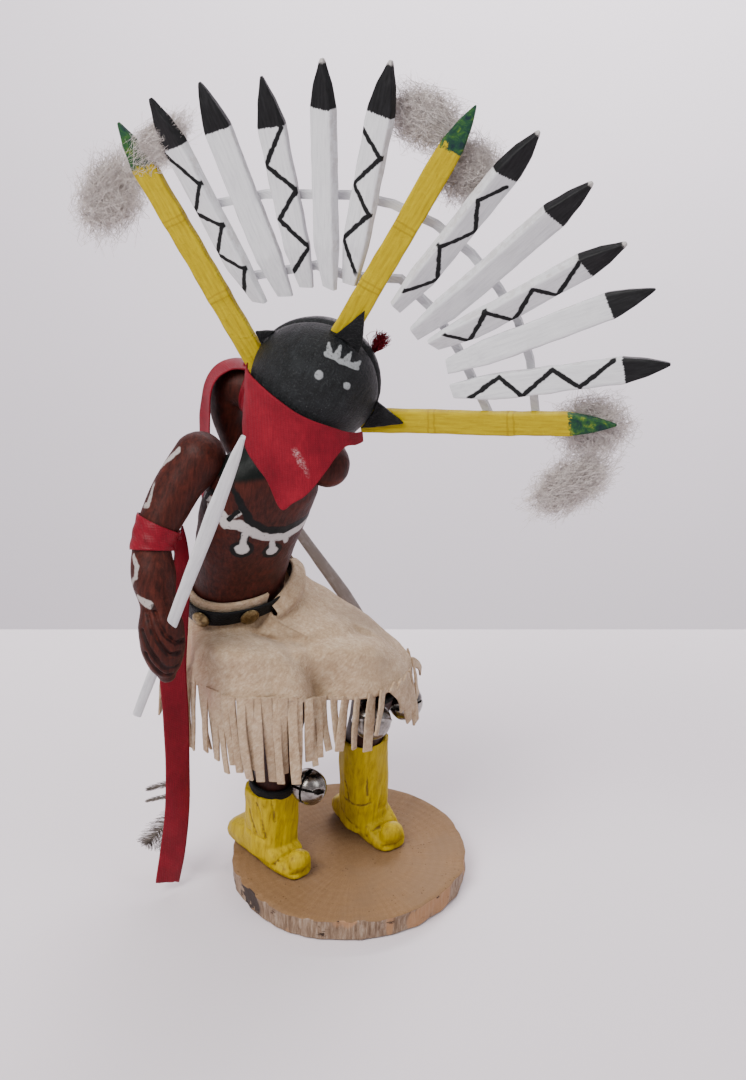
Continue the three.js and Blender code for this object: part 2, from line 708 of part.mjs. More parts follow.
// Bandana: round the face, its lower edge a hanging point
// turn about the head, height of the top edge, drop of the cloth
const bandanaStations = [
  [-84, -4, 15],
  [-72, -3.5, 21],
  [-60, -2.5, 26],
  [-45, -1.2, 30],
  [-25, -0.3, 33],
  [-5, -0.8, 32.5],
  [10, -1, 26],
  [25, -1.1, 15.5],
  [35, -1.5, 9.5],
  [50, -2.3, 4.8],
  [65, -3.3, 4],
  [84, -4.7, 3.5],
];
const bandanaCurve = new THREE.CatmullRomCurve3(
  bandanaStations.map((s) => vec(s[0], s[1], s[2])),
  false,
  "centripetal",
);
const clothRadius = headRadius + fit + clothWall + 0.4;
function bandanaGrid(radius) {
  const grid = [];
  const columns = 15;
  const rows = 4;
  for (let i = 0; i <= rows; i++) {
    const row = [];
    for (let j = 0; j <= columns; j++) {
      const { x: turn, y: high, z: drop } = bandanaCurve.getPoint(j / columns);
      const flare = radius * (1 + 0.09 * (i / rows) * Math.min(1, drop / 20));
      const flat = Math.sqrt(Math.max(radius * radius - high * high, 0)) * (flare / radius);
      const p = onHead(flat * Math.sin(rad(turn)), high, flat * Math.cos(rad(turn)));
      p.z -= (drop * i) / rows;
      const away = p.clone().sub(headCentre);
      if (away.length() < radius) p.copy(headCentre).addScaledVector(away.normalize(), radius);
      row.push(p);
    }
    grid.push(row);
  }
  return grid;
}
const bandana = sheet(bandanaGrid(clothRadius), bandanaGrid(clothRadius - clothWall), false);
place("red_bandana", bandana, "cloth", 0.9);

// Leather bits at the roots of the yellow slats, flat in the plane of the fan
function ear(points, out, wall) {
  const layer = (lift) => points.map(([right, up]) => onHead(right, up, out + lift));
  return skin([layer(0), layer(wall)]).subtract(headClear);
}
const earWall = 1.2;
place("leather_ear_left", ear([[-24.6, 6.4], [-19.6, 2.2], [-15.2, 12.4]], -0.1, earWall), "leather", 0.6);
place("leather_ear_middle", ear([[-0.9, 20.4], [8.4, 17.6], [8.1, 22.6], [3.9, 33]], 3.95, earWall), "leather", 0.6);
place("leather_ear_right", ear([[19.4, -7.4], [31.8, 2.2], [19, 5.2]], -0.1, earWall), "leather", 0.6);
const tuftStations = [
  [11.5, 15.5, 1.6],
  [12.4, 18, 2.6],
  [12.8, 20.5, 2.4],
  [12.6, 22.6, 1],
];
const tuft = tuftStations.map(([right, up, r]) => ring(onHead(right, up, -8.6), fanRight, fanNormal, r, r, 8));
place("red_tuft", skin(tuft).subtract(headClear), "cloth", 0.95);

// Wool behind the tips of the yellow slats
function fluff(lobes) {
  let wool = null;
  for (const [right, up, out, wide, tall, deep, lean] of lobes) {
    const rings = [];
    const across = fanRight.clone().applyAxisAngle(fanNormal, rad(lean));
    const rise = fanUp.clone().applyAxisAngle(fanNormal, rad(lean));
    for (const a of [-72, -38, 0, 38, 72]) {
      const lump = 1 + 0.1 * Math.sin(a + right);
      const size = Math.cos(rad(a)) * lump;
      const centre = onHead(right, up, out).addScaledVector(rise, tall * Math.sin(rad(a)));
      rings.push(ring(centre, across, fanNormal, wide * size, deep * size, 8));
    }
    const lobe = skin(rings);
    wool = wool ? wool.add(lobe) : lobe;
  }
  return wool;
}
const fluffs = {
  left: [
    [-80, 43, -10, 10, 12, 5, 20],
    [-83, 24, -10, 9, 15, 5, -10],
  ],
  middle: [
    [-6, 92, -10, 12, 9.5, 5, 10],
    [11, 87, -10, 10, 10, 5, -20],
  ],
  right: [
    [86, 29, -10, 10, 13, 5, -40],
    [92, 11, -10, 8.5, 16, 5, -28],
  ],
};
for (const [name, lobes] of Object.entries(fluffs)) place(`fluff_${name}`, fluff(lobes), "wool", 1);

// Ribbons: a band tied round the arm and a hanging tail
function band(path, hint, from, to, options, inner, outer) {
  const at = along(path, hint);
  const low = at(from);
  const high = at(to);
  const cut = (solid) =>
    solid
      .trimByPlane([low.tangent.x, low.tangent.y, low.tangent.z], low.tangent.dot(low.centre))
      .trimByPlane([-high.tangent.x, -high.tangent.y, -high.tangent.z], -high.tangent.dot(high.centre));
  return cut(limb(path, hint, { ...options, grow: outer })).subtract(limb(path, hint, { ...options, grow: inner }));
}
const bandClear = fit;
const rightBand = band(
  rightArmPath.slice(1, 5),
  armHint,
  0.42,
  0.77,
  { steps: 5, around: 12 },
  bandClear,
  bandClear + ribbonWall + 0.1,
);
const rightTail = [
  [-56, -13.8, 151, 80],
  [-55.8, -11.6, 142, 66],
  [-57.2, -10.6, 128, 45],
  [-59.4, -11, 112, 30],
  [-60.6, -12, 96, 25],
  [-60.4, -12.5, 78, 30],
  [-60.8, -12.5, 56, 38],
  [-62, -12.5, 36, 30],
  [-64.4, -12.5, 18, 24],
  [-67, -13, 4.2, 32],
];
const knot = (x, y, z, r) =>
  skin([-0.9, -0.35, 0.35, 0.9].map((c) => {
    const size = r * Math.sqrt(1 - c * c);
    return ring(vec(x, y, z + r * c), vec(1, 0, 0), vec(0, 1, 0), size, size, 7);
  }));
const rightRibbon = rightBand
  .add(knot(-56.6, -14.4, 151, 2))
  .add(strip(rightTail, ribbonWidth, ribbonWall, 16))
  .subtract(limb(rightArmPath, armHint, { steps: 14, around: 12, grow: fit }));
place("right_ribbon", rightRibbon, "cloth", 0.9);
const leftBand = band(
  leftArmPath.slice(1, 5),
  backHint,
  0.44,
  0.75,
  { steps: 5, around: 12 },
  bandClear,
  bandClear + ribbonWall + 0.1,
);
const leftTail = [
  [-32.5, 26, 196.8, -86],
  [-37.5, 26, 197.7, -84],
  [-43.4, 24.5, 196, -78],
  [-47.2, 22.5, 190, -72],
  [-48.6, 21.5, 180, -68],
  [-49, 21, 170, -64],
  [-49, 21, 160, -60],
  [-48.6, 22, 149, -55],
  [-48.2, 23, 139, -50],
];
const leftRibbon = leftBand
  .add(knot(-33.5, 25, 196.2, 1.8))
  .add(strip(leftTail, ribbonWidth, ribbonWall, 14))
  .subtract(limb(leftArmPath, backHint, { steps: 14, around: 12, grow: fit }));
place("left_ribbon", leftRibbon, "cloth", 0.9);

// Feathers: flat blades of which the middle is thicker
function feather(base, tip, width, faceHint, bend) {
  const axis = tip.clone().sub(base);
  const side = vec().crossVectors(axis, faceHint).normalize();
  const face = vec().crossVectors(side, axis).normalize();
  const rings = [];
  for (const [t, w] of [
    [0, 0.22],
    [0.4, 1],
    [0.8, 0.86],
    [1, 0.2],
  ]) {
    const c = base.clone().addScaledVector(axis, t).addScaledVector(side, bend * t * t);
    rings.push(ring(c, side, face, (width / 2) * w, 0.6, 6));
  }
  return skin(rings);
}
const towardViewer = vec(0.1, -0.9, 0.4);
const quill = (x, y, low, high) =>
  skin([low, (low + high) / 2, high].map((z) => ring(vec(x, y, z), vec(1, 0, 0), vec(0, 1, 0), 0.9, 0.9, 6)));
const lowFeathers = [
  quill(-60.6, -9.6, 33, 49),
  feather(vec(-60.2, -9.4, 37), vec(-74, -6.6, 15.5), 11, towardViewer, 2),
  feather(vec(-60.2, -9.4, 35), vec(-67.5, -6.5, 12.5), 8, towardViewer, 1),
  feather(vec(-60.2, -9.6, 47), vec(-73, -9, 45), 2.6, towardViewer, -1.5),
  feather(vec(-60.2, -9.6, 41.5), vec(-73.5, -9, 39.5), 2, towardViewer, -1.2),
].reduce((all, one) => all.add(one));
place("ribbon_feathers", lowFeathers, "feather", 0.95);
const highFeather = feather(vec(-58.4, -8.4, 100), vec(-63.4, -7.4, 77.5), 5.5, towardViewer, 1);
place("arm_feather", highFeather, "feather", 0.95);

// Straps round the shins, and the bells that hang from them
const shinBand = (path, low, high) =>
  limb(path.slice(2), facing, { steps: 5, around: 12, grow: fit + 1.5 })
    .trimByPlane([0, 0, 1], low)
    .trimByPlane([0, 0, -1], -high)
    .subtract(bodyShape(2 * fit));
place("right_garter", shinBand(rightLeg, 41 + fit, 46), "leather", 0.8);
place("left_garter", shinBand(leftLeg, 81, 84.5), "leather", 0.8);

function bell(centre, mouth) {
  const pole = mouth.clone().normalize();
  const side = vec().crossVectors(pole, vec(0.3, 0.2, 1)).normalize();
  const other = vec().crossVectors(pole, side);
  const ball = (radius) => {
    const rings = [];
    for (const a of [-80, -46, 0, 46, 80]) {
      const r = radius * Math.cos(rad(a));
      rings.push(ring(centre.clone().addScaledVector(pole, radius * Math.sin(rad(a))), side, other, r, r, 10));
    }
    return skin(rings);
  };
  const slot = (across, wall) => {
    const box = [];
    for (const depth of [0.08, 1.2]) {
      const c = centre.clone().addScaledVector(pole, bellRadius * depth);
      const corner = (a, b) =>
        c.clone().addScaledVector(across, a * 1.1 * bellRadius).addScaledVector(wall, b * 0.45);
      box.push([corner(-1, -1), corner(1, -1), corner(1, 1), corner(-1, 1)]);
    }
    return skin(box);
  };
  return ball(bellRadius)
    .subtract(ball(bellRadius - bellWall))
    .subtract(slot(side, other))
    .subtract(slot(other, side));
}
const bells = [
  [vec(-13.2, -11.6, 46.4), vec(-0.45, -0.8, 0.4)],
  [vec(9.8, -9.9, 74), vec(0, -0.6, -0.8)],
  [vec(22.3, 13, 67.6), vec(0.5, -0.7, 0.3)],
];
bells.forEach(([centre, mouth], i) => place(`bell_${i + 1}`, bell(centre, mouth), "nickel", 0.25, 1));

export default group;
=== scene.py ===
import functools
import math
import random

import bmesh
import bpy
from mathutils import Matrix, Vector, noise


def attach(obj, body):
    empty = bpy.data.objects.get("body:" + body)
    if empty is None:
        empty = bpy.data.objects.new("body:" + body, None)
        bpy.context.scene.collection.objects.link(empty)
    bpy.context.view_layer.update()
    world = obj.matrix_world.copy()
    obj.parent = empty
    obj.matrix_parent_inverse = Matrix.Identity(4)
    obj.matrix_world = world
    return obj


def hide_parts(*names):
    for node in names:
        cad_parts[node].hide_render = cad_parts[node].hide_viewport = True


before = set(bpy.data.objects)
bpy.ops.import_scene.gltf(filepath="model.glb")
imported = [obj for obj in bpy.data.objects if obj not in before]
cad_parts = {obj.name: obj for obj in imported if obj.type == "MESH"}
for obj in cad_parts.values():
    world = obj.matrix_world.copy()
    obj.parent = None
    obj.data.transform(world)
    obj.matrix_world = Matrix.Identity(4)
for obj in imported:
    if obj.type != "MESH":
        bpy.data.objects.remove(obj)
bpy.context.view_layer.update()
mm = 0.001


def report(text):
    print("kachina doll:", text)


view = {
    "place": (0.01029, -0.59129, 0.44328),
    "tilt": 63,
    "lens": 63.33,
    "sensor": 36,
}


def linked(name, data):
    made = bpy.data.objects.new(name, data)
    bpy.context.scene.collection.objects.link(made)
    return made


def makeCamera():
    data = bpy.data.cameras.new("camera")
    data.lens = view["lens"]
    data.sensor_width = view["sensor"]
    data.dof.use_dof = False
    holder = linked("camera", data)
    holder.location = view["place"]
    holder.rotation_euler = (math.radians(view["tilt"]), 0, 0)
    bpy.context.scene.camera = holder


studio = {
    "world": 0.60,
    "worldColour": (0.96, 0.915, 0.96, 1),
    "lamps": [
        # place, aim, size, power, colour
        ((-0.5, -0.55, 1.0), (0, 0, 0.14), 0.7, 18.5, (1.0, 0.985, 0.96)),
        ((0.85, -0.45, 0.75), (0, 0, 0.12), 0.7, 3.2, (0.97, 0.98, 1.0)),
        ((0.1, 0.7, 1.1), (0, 0.1, 0.15), 0.8, 4.0, (1.0, 1.0, 1.0)),
        ((0.3, 0.75, 0.75), (0.25, 1.5, -0.4), 0.6, 28.0, (1.0, 0.985, 1.0)),
    ],
    "farEdge": 0.186,
    "backdropAt": 1.5,
    "floor": (0.90, 0.825, 0.875),
    "backdrop": (1.2, 1.11, 1.19),
    # how dark every piece's colours are mixed under this light
    "depth": 0.8,
}


def makeLamps():
    world = bpy.data.worlds.new("studio")
    bpy.context.scene.world = world
    world.use_nodes = True
    sky = world.node_tree.nodes["Background"]
    sky.inputs["Color"].default_value = studio["worldColour"]
    sky.inputs["Strength"].default_value = studio["world"]
    for i, (place, aim, size, power, colour) in enumerate(studio["lamps"]):
        data = bpy.data.lights.new(f"softbox{i}", "AREA")
        data.shape = "DISK"
        data.size = size
        data.energy = power
        data.color = colour
        lamp = linked(f"softbox{i}", data)
        lamp.location = place
        lamp.rotation_euler = (Vector(aim) - Vector(place)).to_track_quat("-Z", "Y").to_euler()


class Signal:
    def __init__(self, finish, socket):
        self.finish = finish
        self.socket = socket

    def maths(self, operation, *values, clamp=False):
        return self.finish.node("ShaderNodeMath", {"operation": operation, "use_clamp": clamp},
                                dict(enumerate(values)))

    def __add__(self, other):
        return self.maths("ADD", self, other)

    def __mul__(self, other):
        return self.maths("MULTIPLY", self, other)

    def __sub__(self, other):
        return self.maths("SUBTRACT", self, other)

    def __rsub__(self, other):
        return self.maths("SUBTRACT", other, self)

    def __truediv__(self, other):
        return self.maths("DIVIDE", self, other)

    def __pow__(self, other):
        return self.maths("POWER", self, other)

    def __abs__(self):
        return self.maths("ABSOLUTE", self)

    __radd__ = __add__
    __rmul__ = __mul__

    def least(self, other):
        return self.maths("MINIMUM", self, other)

    def most(self, other):
        return self.maths("MAXIMUM", self, other)

    def sine(self):
        return self.maths("SINE", self)

    # 0 where the value is at or under low, 1 where it is at or over high
    def between(self, low, high):
        if low > high:
            return 1 - self.between(high, low)
        return self.finish.node(
            "ShaderNodeMapRange", {"interpolation_type": "SMOOTHSTEP"},
            {"Value": self, "From Min": low, "From Max": high}
        )


class Finish:
    def __init__(self, name, **fixed):
        self.material = bpy.data.materials.new(name)
        self.material.use_nodes = True
        self.tree = self.material.node_tree
        self.shader = self.tree.nodes["Principled BSDF"]
        self.shader.inputs["Specular IOR Level"].default_value = 0.16
        for key, value in fixed.items():
            self.shader.inputs[key.replace("_", " ")].default_value = value
        place = self.node("ShaderNodeTexCoord", output="Object")
        self.point = self.vector("SCALE", place, Scale=1000)

    def node(self, kind, settings=None, inputs=None, output=0):
        made = self.tree.nodes.new(kind)
        for key, value in (settings or {}).items():
            if key == "stops":
                ramp = made.color_ramp
                while len(ramp.elements) < len(value):
                    ramp.elements.new(0.5)
                for element, (position, colour) in zip(ramp.elements, value):
                    element.position = position
                    element.color = (*colour, 1)
            else:
                setattr(made, key, value)
        for key, value in (inputs or {}).items():
            socket = made.inputs[key]
            if isinstance(value, Signal):
                self.tree.links.new(value.socket, socket)
            else:
                socket.default_value = value
        return Signal(self, made.outputs[output])

    def vector(self, operation, *values, output=0, **named):
        return self.node("ShaderNodeVectorMath", {"operation": operation}, {**dict(enumerate(values)), **named},
                         output)

    def dot(self, direction, point=None, origin=(0, 0, 0)):
        away = self.vector("SUBTRACT", point or self.point, tuple(origin))
        return self.vector("DOT_PRODUCT", away, tuple(direction), output="Value")

    def axis(self, name, point=None):
        return self.node("ShaderNodeSeparateXYZ", {}, {0: point or self.point}, name)

    def join(self, x, y, z):
        return self.node("ShaderNodeCombineXYZ", {}, {0: x, 1: y, 2: z})

    def noise(self, scale, detail=3.0, rough=0.55, point=None, distortion=0.0):
        return self.node(
            "ShaderNodeTexNoise",
            {},
            {"Vector": point or self.point, "Scale": scale, "Detail": detail, "Roughness": rough,
             "Distortion": distortion},
        )

    def cells(self, scale, feature="F1", point=None, randomness=1.0):
        return self.node(
            "ShaderNodeTexVoronoi",
            {"feature": feature},
            {"Vector": point or self.point, "Scale": scale, "Randomness": randomness},
        )

    def stretched(self, directions, factors, point=None):
        parts = [self.dot(d, point) * f for d, f in zip(directions, factors)]
        return self.join(*parts)

    def mix(self, factor, a, b, blend="MIX"):
        colour = lambda c: c if isinstance(c, Signal) else (*(v * studio["depth"] for v in c), 1)
        return self.node(
            "ShaderNodeMix", {"data_type": "RGBA", "blend_type": blend, "clamp_factor": True},
            {0: factor, 6: colour(a), 7: colour(b)}, 2
        )

    def ramp(self, value, *stops):
        stops = [(place, tuple(v * studio["depth"] for v in colour)) for place, colour in stops]
        return self.node("ShaderNodeValToRGB", {"stops": stops}, {0: value})

    # distance in mm to a painted stroke through points in space
    def stroke(self, points, point=None, thin=None):
        nearest = None
        for a, b in zip(points, points[1:]):
            a, b = Vector(a), Vector(b)
            run = b - a
            away = self.vector("SUBTRACT", point or self.point, tuple(a))
            share = self.vector("DOT_PRODUCT", away, tuple(run / run.length_squared), output="Value")
            share = share.maths("ADD", share, 0.0, clamp=True)
            along = self.vector("SCALE", tuple(run), Scale=share)
            distance = self.vector("DISTANCE", away, along, output="Value")
            if thin:
                distance = distance + share * thin
            nearest = distance if nearest is None else nearest.least(distance)
        return nearest

    def spot(self, place, point=None):
        return self.vector("DISTANCE", point or self.point, tuple(place), output="Value")

    def shaken(self, scale, reach, place=None, detail=2.0):
        shift = self.node("ShaderNodeTexNoise", {}, {"Vector": self.point, "Scale": scale, "Detail": detail}, "Color")
        shift = self.vector("SUBTRACT", shift, (0.5, 0.5, 0.5))
        return self.vector("ADD", place or self.point, self.vector("SCALE", shift, Scale=reach))

    def bump(self, height, depth, strength=1.0):
        self.connect("Normal", self.node("ShaderNodeBump", {},
                                         {"Height": height, "Distance": depth * mm, "Strength": strength}))

    def connect(self, name, value):
        self.tree.links.new(value.socket, self.shader.inputs[name])

    def colour(self, value):
        self.connect("Base Color", value)

    def rough(self, value):
        self.connect("Roughness", value)


# painted wherever one of the marks is
def allOf(marks):
    return functools.reduce(Signal.most, marks)


def vec(x, y, z):
    return Vector((x, y, z))


def polar(angle, size, height=0):
    return vec(math.cos(angle) * size, math.sin(angle) * size, height)


# a row of values at a share of the way along a profile
def onProfile(profile, v):
    k = v * (len(profile) - 1)
    i = min(int(k + 1e-6), len(profile) - 2)
    share = k - i
    return [a * (1 - share) + b * share for a, b in zip(profile[i], profile[i + 1])]


# sizes at a place along stations that start with their own place
def onStations(stations, s):
    for (s0, *low), (s1, *high) in zip(stations, stations[1:]):
        if s <= s1:
            share = min(max((s - s0) / (s1 - s0), 0), 1)
            return [a + (b - a) * share for a, b in zip(low, high)]
    return stations[-1][1:]


# the share along a closed bar, and 0 where its ends come together
def capped(v, edge):
    return min(max((v - edge) / (1 - 2 * edge), 0), 1), 0 if v < edge / 2 or v > 1 - edge / 2 else 1


# a smooth centripetal curve through points of any length
def curve(points):
    points = [Vector(p) for p in points]

    def at(t):
        count = len(points)
        place = (count - 1) * min(max(t, 0.0), 1.0)
        i = min(int(place), count - 2)
        weight = place - i
        p1, p2 = points[i], points[i + 1]
        p0 = points[i - 1] if i > 0 else 2 * points[0] - points[1]
        p3 = points[i + 2] if i + 2 < count else 2 * points[-1] - points[-2]
        step = [max((b - a).length_squared, 0) ** 0.25 for a, b in ((p0, p1), (p1, p2), (p2, p3))]
        d1 = step[1] if step[1] > 1e-4 else 1.0
        d0 = step[0] if step[0] > 1e-4 else d1
        d2 = step[2] if step[2] > 1e-4 else d1
        m1 = ((p1 - p0) / d0 - (p2 - p0) / (d0 + d1) + (p2 - p1) / d1) * d1
        m2 = ((p2 - p1) / d1 - (p3 - p1) / (d1 + d2) + (p3 - p2) / d2) * d1
        w = weight
        return p1 + m1 * w + (-3 * p1 + 3 * p2 - 2 * m1 - m2) * w * w + (2 * p1 - 2 * p2 + m1 + m2) * w**3

    return at


def heading(at, t, step=1e-4):
    return (at(min(t + step, 1)) - at(max(t - step, 0))).normalized()


def along(stations, sideHint):
    middle = curve([s[:3] for s in stations])
    sizes = curve([(s[3], s[4], 0) for s in stations])
    sideHint = Vector(sideHint)

    def at(t):
        tangent = heading(middle, t)
        front = tangent.cross(sideHint).normalized()
        side = front.cross(tangent).normalized()
        size = sizes(t)
        return middle(t), tangent, front, side, size.x, size.y

    return at


def bend(c, power):
    return math.copysign(abs(c) ** (2 / power), c)


# a grid of points whose places a function of two shares gives
def mapped(mesh, columns, rows, place, closed=True, missing=None):
    before = set(mesh.verts)
    made = bmesh.ops.create_grid(mesh, x_segments=columns, y_segments=rows, size=1)["verts"]
    if missing:
        cells = [(face, face.calc_center_median()) for face in {f for v in made for f in v.link_faces}]
        gone = [face for face, c in cells if missing((c.x + 1) / 2, (c.y + 1) / 2)]
        bmesh.ops.delete(mesh, geom=gone, context="FACES")
    for vert in made:
        u, v = (vert.co.x + 1) / 2, (vert.co.y + 1) / 2
        vert.co = place(u, v)
    made = [v for v in mesh.verts if v not in before]
    if closed:
        bmesh.ops.remove_doubles(mesh, verts=made, dist=1e-4)
    return made


def tube(mesh, at, columns, rows, power=2.0, ends=0.0, grow=0.0, shape=None):
    def place(u, v):
        t = v if not ends else min(max((v - ends) / (1 - 2 * ends), 0), 1)
        middle, tangent, front, side, wide, deep = at(t)
        shrink, push = 1.0, 0.0
        if ends and v < ends:
            tip = math.pi / 2 * (1 - v / ends)
            shrink, push = math.cos(tip), -math.sin(tip)
        elif ends and v > 1 - ends:
            tip = math.pi / 2 * (1 - (1 - v) / ends)
            shrink, push = math.cos(tip), math.sin(tip)
        a = 2 * math.pi * u
        wide, deep = (wide + grow) * shrink, (deep + grow) * shrink
        reach = min(wide, deep) / shrink if shrink > 1e-6 else at(t)[5]
        point = middle + tangent * push * reach
        point = point + side * wide * bend(math.cos(a), power) + front * deep * bend(math.sin(a), power)
        return shape(point, u, v) if shape else point

    return mapped(mesh, columns, rows, place)


def closeEnds(mesh):
    rims = [e for e in mesh.edges if e.is_boundary]
    if rims:
        bmesh.ops.holes_fill(mesh, edges=rims, sides=0)


def softNoise(point, scale, seed=0.0):
    return noise.noise(Vector(point) * scale + vec(seed, 3.1 * seed, -seed))


def remeshed(mesh, voxel, rounds):
    data = bpy.data.meshes.new("work")
    bmesh.ops.triangulate(mesh, faces=mesh.faces)
    bmesh.ops.recalc_face_normals(mesh, faces=mesh.faces)
    mesh.to_mesh(data)
    mesh.free()
    work = linked("work", data)
    modifier = work.modifiers.new("voxels", "REMESH")
    modifier.mode = "VOXEL"
    modifier.voxel_size = voxel
    baked = bpy.data.meshes.new_from_object(work.evaluated_get(bpy.context.evaluated_depsgraph_get()))
    bpy.data.objects.remove(work)
    fresh = bmesh.new()
    fresh.from_mesh(baked)
    bpy.data.meshes.remove(baked)
    for _ in range(rounds):
        bmesh.ops.smooth_vert(fresh, verts=fresh.verts, factor=0.5, use_axis_x=True, use_axis_y=True, use_axis_z=True)
    return fresh


# moves each point along its own normal by a function of its place
def worked(mesh, shape):
    mesh.normal_update()
    moves = [(vert, vert.normal.copy() * shape(vert.co)) for vert in mesh.verts]
    for vert, move in moves:
        vert.co += move


def copyOf(node):
    mesh = bmesh.new()
    mesh.from_mesh(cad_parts[node].data)
    bmesh.ops.scale(mesh, vec=(1000, 1000, 1000), verts=mesh.verts)
    bmesh.ops.remove_doubles(mesh, verts=mesh.verts, dist=1e-3)
    return mesh


def finished(mesh, name, finish, replaces=(), smooth=40, wall=0.0, offset=0.0, rounded=0, recalculate=False):
    if recalculate:
        bmesh.ops.recalc_face_normals(mesh, faces=mesh.faces)
    bmesh.ops.scale(mesh, vec=(mm, mm, mm), verts=mesh.verts)
    for face in mesh.faces:
        face.smooth = True
    for edge in mesh.edges:
        edge.smooth = len(edge.link_faces) != 2 or edge.calc_face_angle(0) < math.radians(smooth)
    data = bpy.data.meshes.new(name)
    mesh.to_mesh(data)
    mesh.free()
    data.materials.append(finish.material)
    piece = linked(name, data)
    if wall:
        solid = piece.modifiers.new("wall", "SOLIDIFY")
        solid.thickness = wall * mm
        solid.offset = offset
        solid.use_even_offset = True
    if rounded:
        subdivision = piece.modifiers.new("rounded", "SUBSURF")
        subdivision.levels = subdivision.render_levels = rounded
    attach(piece, "root")
    if replaces:
        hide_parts(*([replaces] if isinstance(replaces, str) else replaces))
    return piece


def distanceToPath(point, path):
    best = 1e9
    for a, b in zip(path, path[1:]):
        run = b - a
        share = min(max((point - a).dot(run) / run.length_squared, 0), 1)
        best = min(best, (point - a - run * share).length)
    return best


def cut(point, paths, width, depth):
    total = 0.0
    for path in paths:
        away = distanceToPath(point, path)
        if away < 3 * width:
            total = max(total, math.exp(-((away / width) ** 2)))
    return -depth * total


# long streaks along a direction, for wood and brush marks
def fibres(finish, direction, across, scale=1.0):
    direction = Vector(direction).normalized()
    side = direction.orthogonal().normalized()
    other = direction.cross(side)
    place = finish.stretched((direction, side, other), (0.12 * scale, across * scale, across * scale))
    return finish.noise(1.0, 4.0, 0.6, place)


chestPaint = {
    "band": [(-37.3, -14.8, 173.6), (-35.0, -16.7, 166.5), (-31.4, -15.1, 156.9), (-25.9, -12.0, 151.9),
             (-20.4, -8.3, 150.2), (-14.6, -3.6, 151.2), (-12.0, 1.4, 152.2)],
    "under": [(-39.6, -14.5, 155.7), (-34.8, -15.1, 155.6), (-27.3, -11.3, 149.4), (-20.1, -6.7, 147.6),
              (-13.3, -0.4, 149.6)],
    "drops": [((-34.7, -11.7, 144.5), 2.6), ((-24.7, -6.9, 141.6), 2.2)],
    "runs": [((-33.4, -13.6, 151.5), (-34.7, -11.9, 145.5)), ((-24.4, -9.2, 147.7), (-24.8, -7.2, 142.2)),
             ((-17.4, -5.2, 148.6), (-16.9, -4.4, 152.4)), ((-20.5, -7.2, 147.4), (-19.2, -5.8, 144.2))],
    "left": [[(-46.6, -7.7, 163.1), (-43.1, -13.3, 163.9), (-40.5, -15.4, 164.9)],
             [(-45.2, -11.2, 160.8), (-39.8, -15.0, 159.1)],
             [(-41.5, -13.8, 163.0), (-38.0, -15.2, 157.2)],
             [(-40.9, -14.3, 156.9), (-36.3, -15.8, 159.5), (-34.6, -16.1, 160.8)]],
    "leaf": [(-38.4, -15.3, 157.9), (-35.4, -16.3, 161.0)],
    "smear": [(-46.5, -8.1, 162.6), (-43.6, -12.5, 167.0)],
    "bandWidth": 1.6,
    "underWidth": 2.0,
}


def woodPaint(finish):
    grain = fibres(finish, (0.12, 0.1, 1), 0.9)
    worn = finish.noise(0.11, 5.0, 0.62)
    fine = finish.noise(1.3, 3.0, 0.6)
    colour = finish.ramp(grain, (0.3, (0.024, 0.0066, 0.0046)), (0.5, (0.048, 0.011, 0.0076)),
                         (0.72, (0.082, 0.0175, 0.011)))
    colour = finish.mix(worn.between(0.52, 0.72) * 0.5, colour, (0.13, 0.024, 0.014))
    colour = finish.mix(fine.between(0.6, 0.8) * 0.25, colour, (0.012, 0.005, 0.004))
    return grain, worn, fine, colour


def bodyPaint():
    finish = Finish("dark_red_paint", Specular_IOR_Level=0.13)
    grain, worn, fine, colour = woodPaint(finish)
    place = finish.shaken(0.35, 1.5)
    rag = finish.noise(0.9, 3.0, 0.6)
    p = chestPaint
    front = finish.axis("Z").between(136, 138)
    white = finish.stroke(p["under"], place).between(p["underWidth"] + 0.5, p["underWidth"] - 0.3)
    for path in p["left"] + p["runs"]:
        white = white.most(finish.stroke(path, place).between(1.45, 0.9))
    halo = None
    for spot, size in p["drops"]:
        away = finish.spot(spot, place)
        white = white.most(away.between(size + 0.2, size - 0.4))
        ring = away.between(size + 1.9, size + 1.3)
        halo = ring if halo is None else halo.most(ring)
    halo = halo.most(finish.stroke(p["runs"][0], place).between(2.0, 1.5))
    white = white * rag.between(0.2, 0.42) * front
    black = finish.stroke(p["band"], place).between(p["bandWidth"] + 0.3, p["bandWidth"] - 0.3)
    black = black.most(finish.stroke(p["leaf"], place).between(1.3, 0.9))
    black = black.most(finish.stroke(p["smear"], place).between(1.2, 0.7))
    colour = finish.mix(halo * front, colour, (0.006, 0.006, 0.006))
    colour = finish.mix(white * 0.94, colour, (0.62, 0.59, 0.57))
    colour = finish.mix(black, colour, (0.005, 0.006, 0.006))
    neck = finish.axis("Z") - finish.dot((0.3, 0.5, 0)) * 0.4
    collar = neck.between(178.5, 181)
    colour = finish.mix(collar, colour, (0.004, 0.006, 0.005))
    shin = finish.axis("Z").between(60, 90)
    colour = finish.mix((1 - shin) * 0.6, colour, (0.012, 0.006, 0.005))
    finish.colour(colour)
    finish.rough(fine * 0.2 + worn * 0.3 + 0.27)
    finish.bump(grain * 0.6 + fine * 0.4 + white * 0.25 + black * 0.15, 0.22)
    return finish


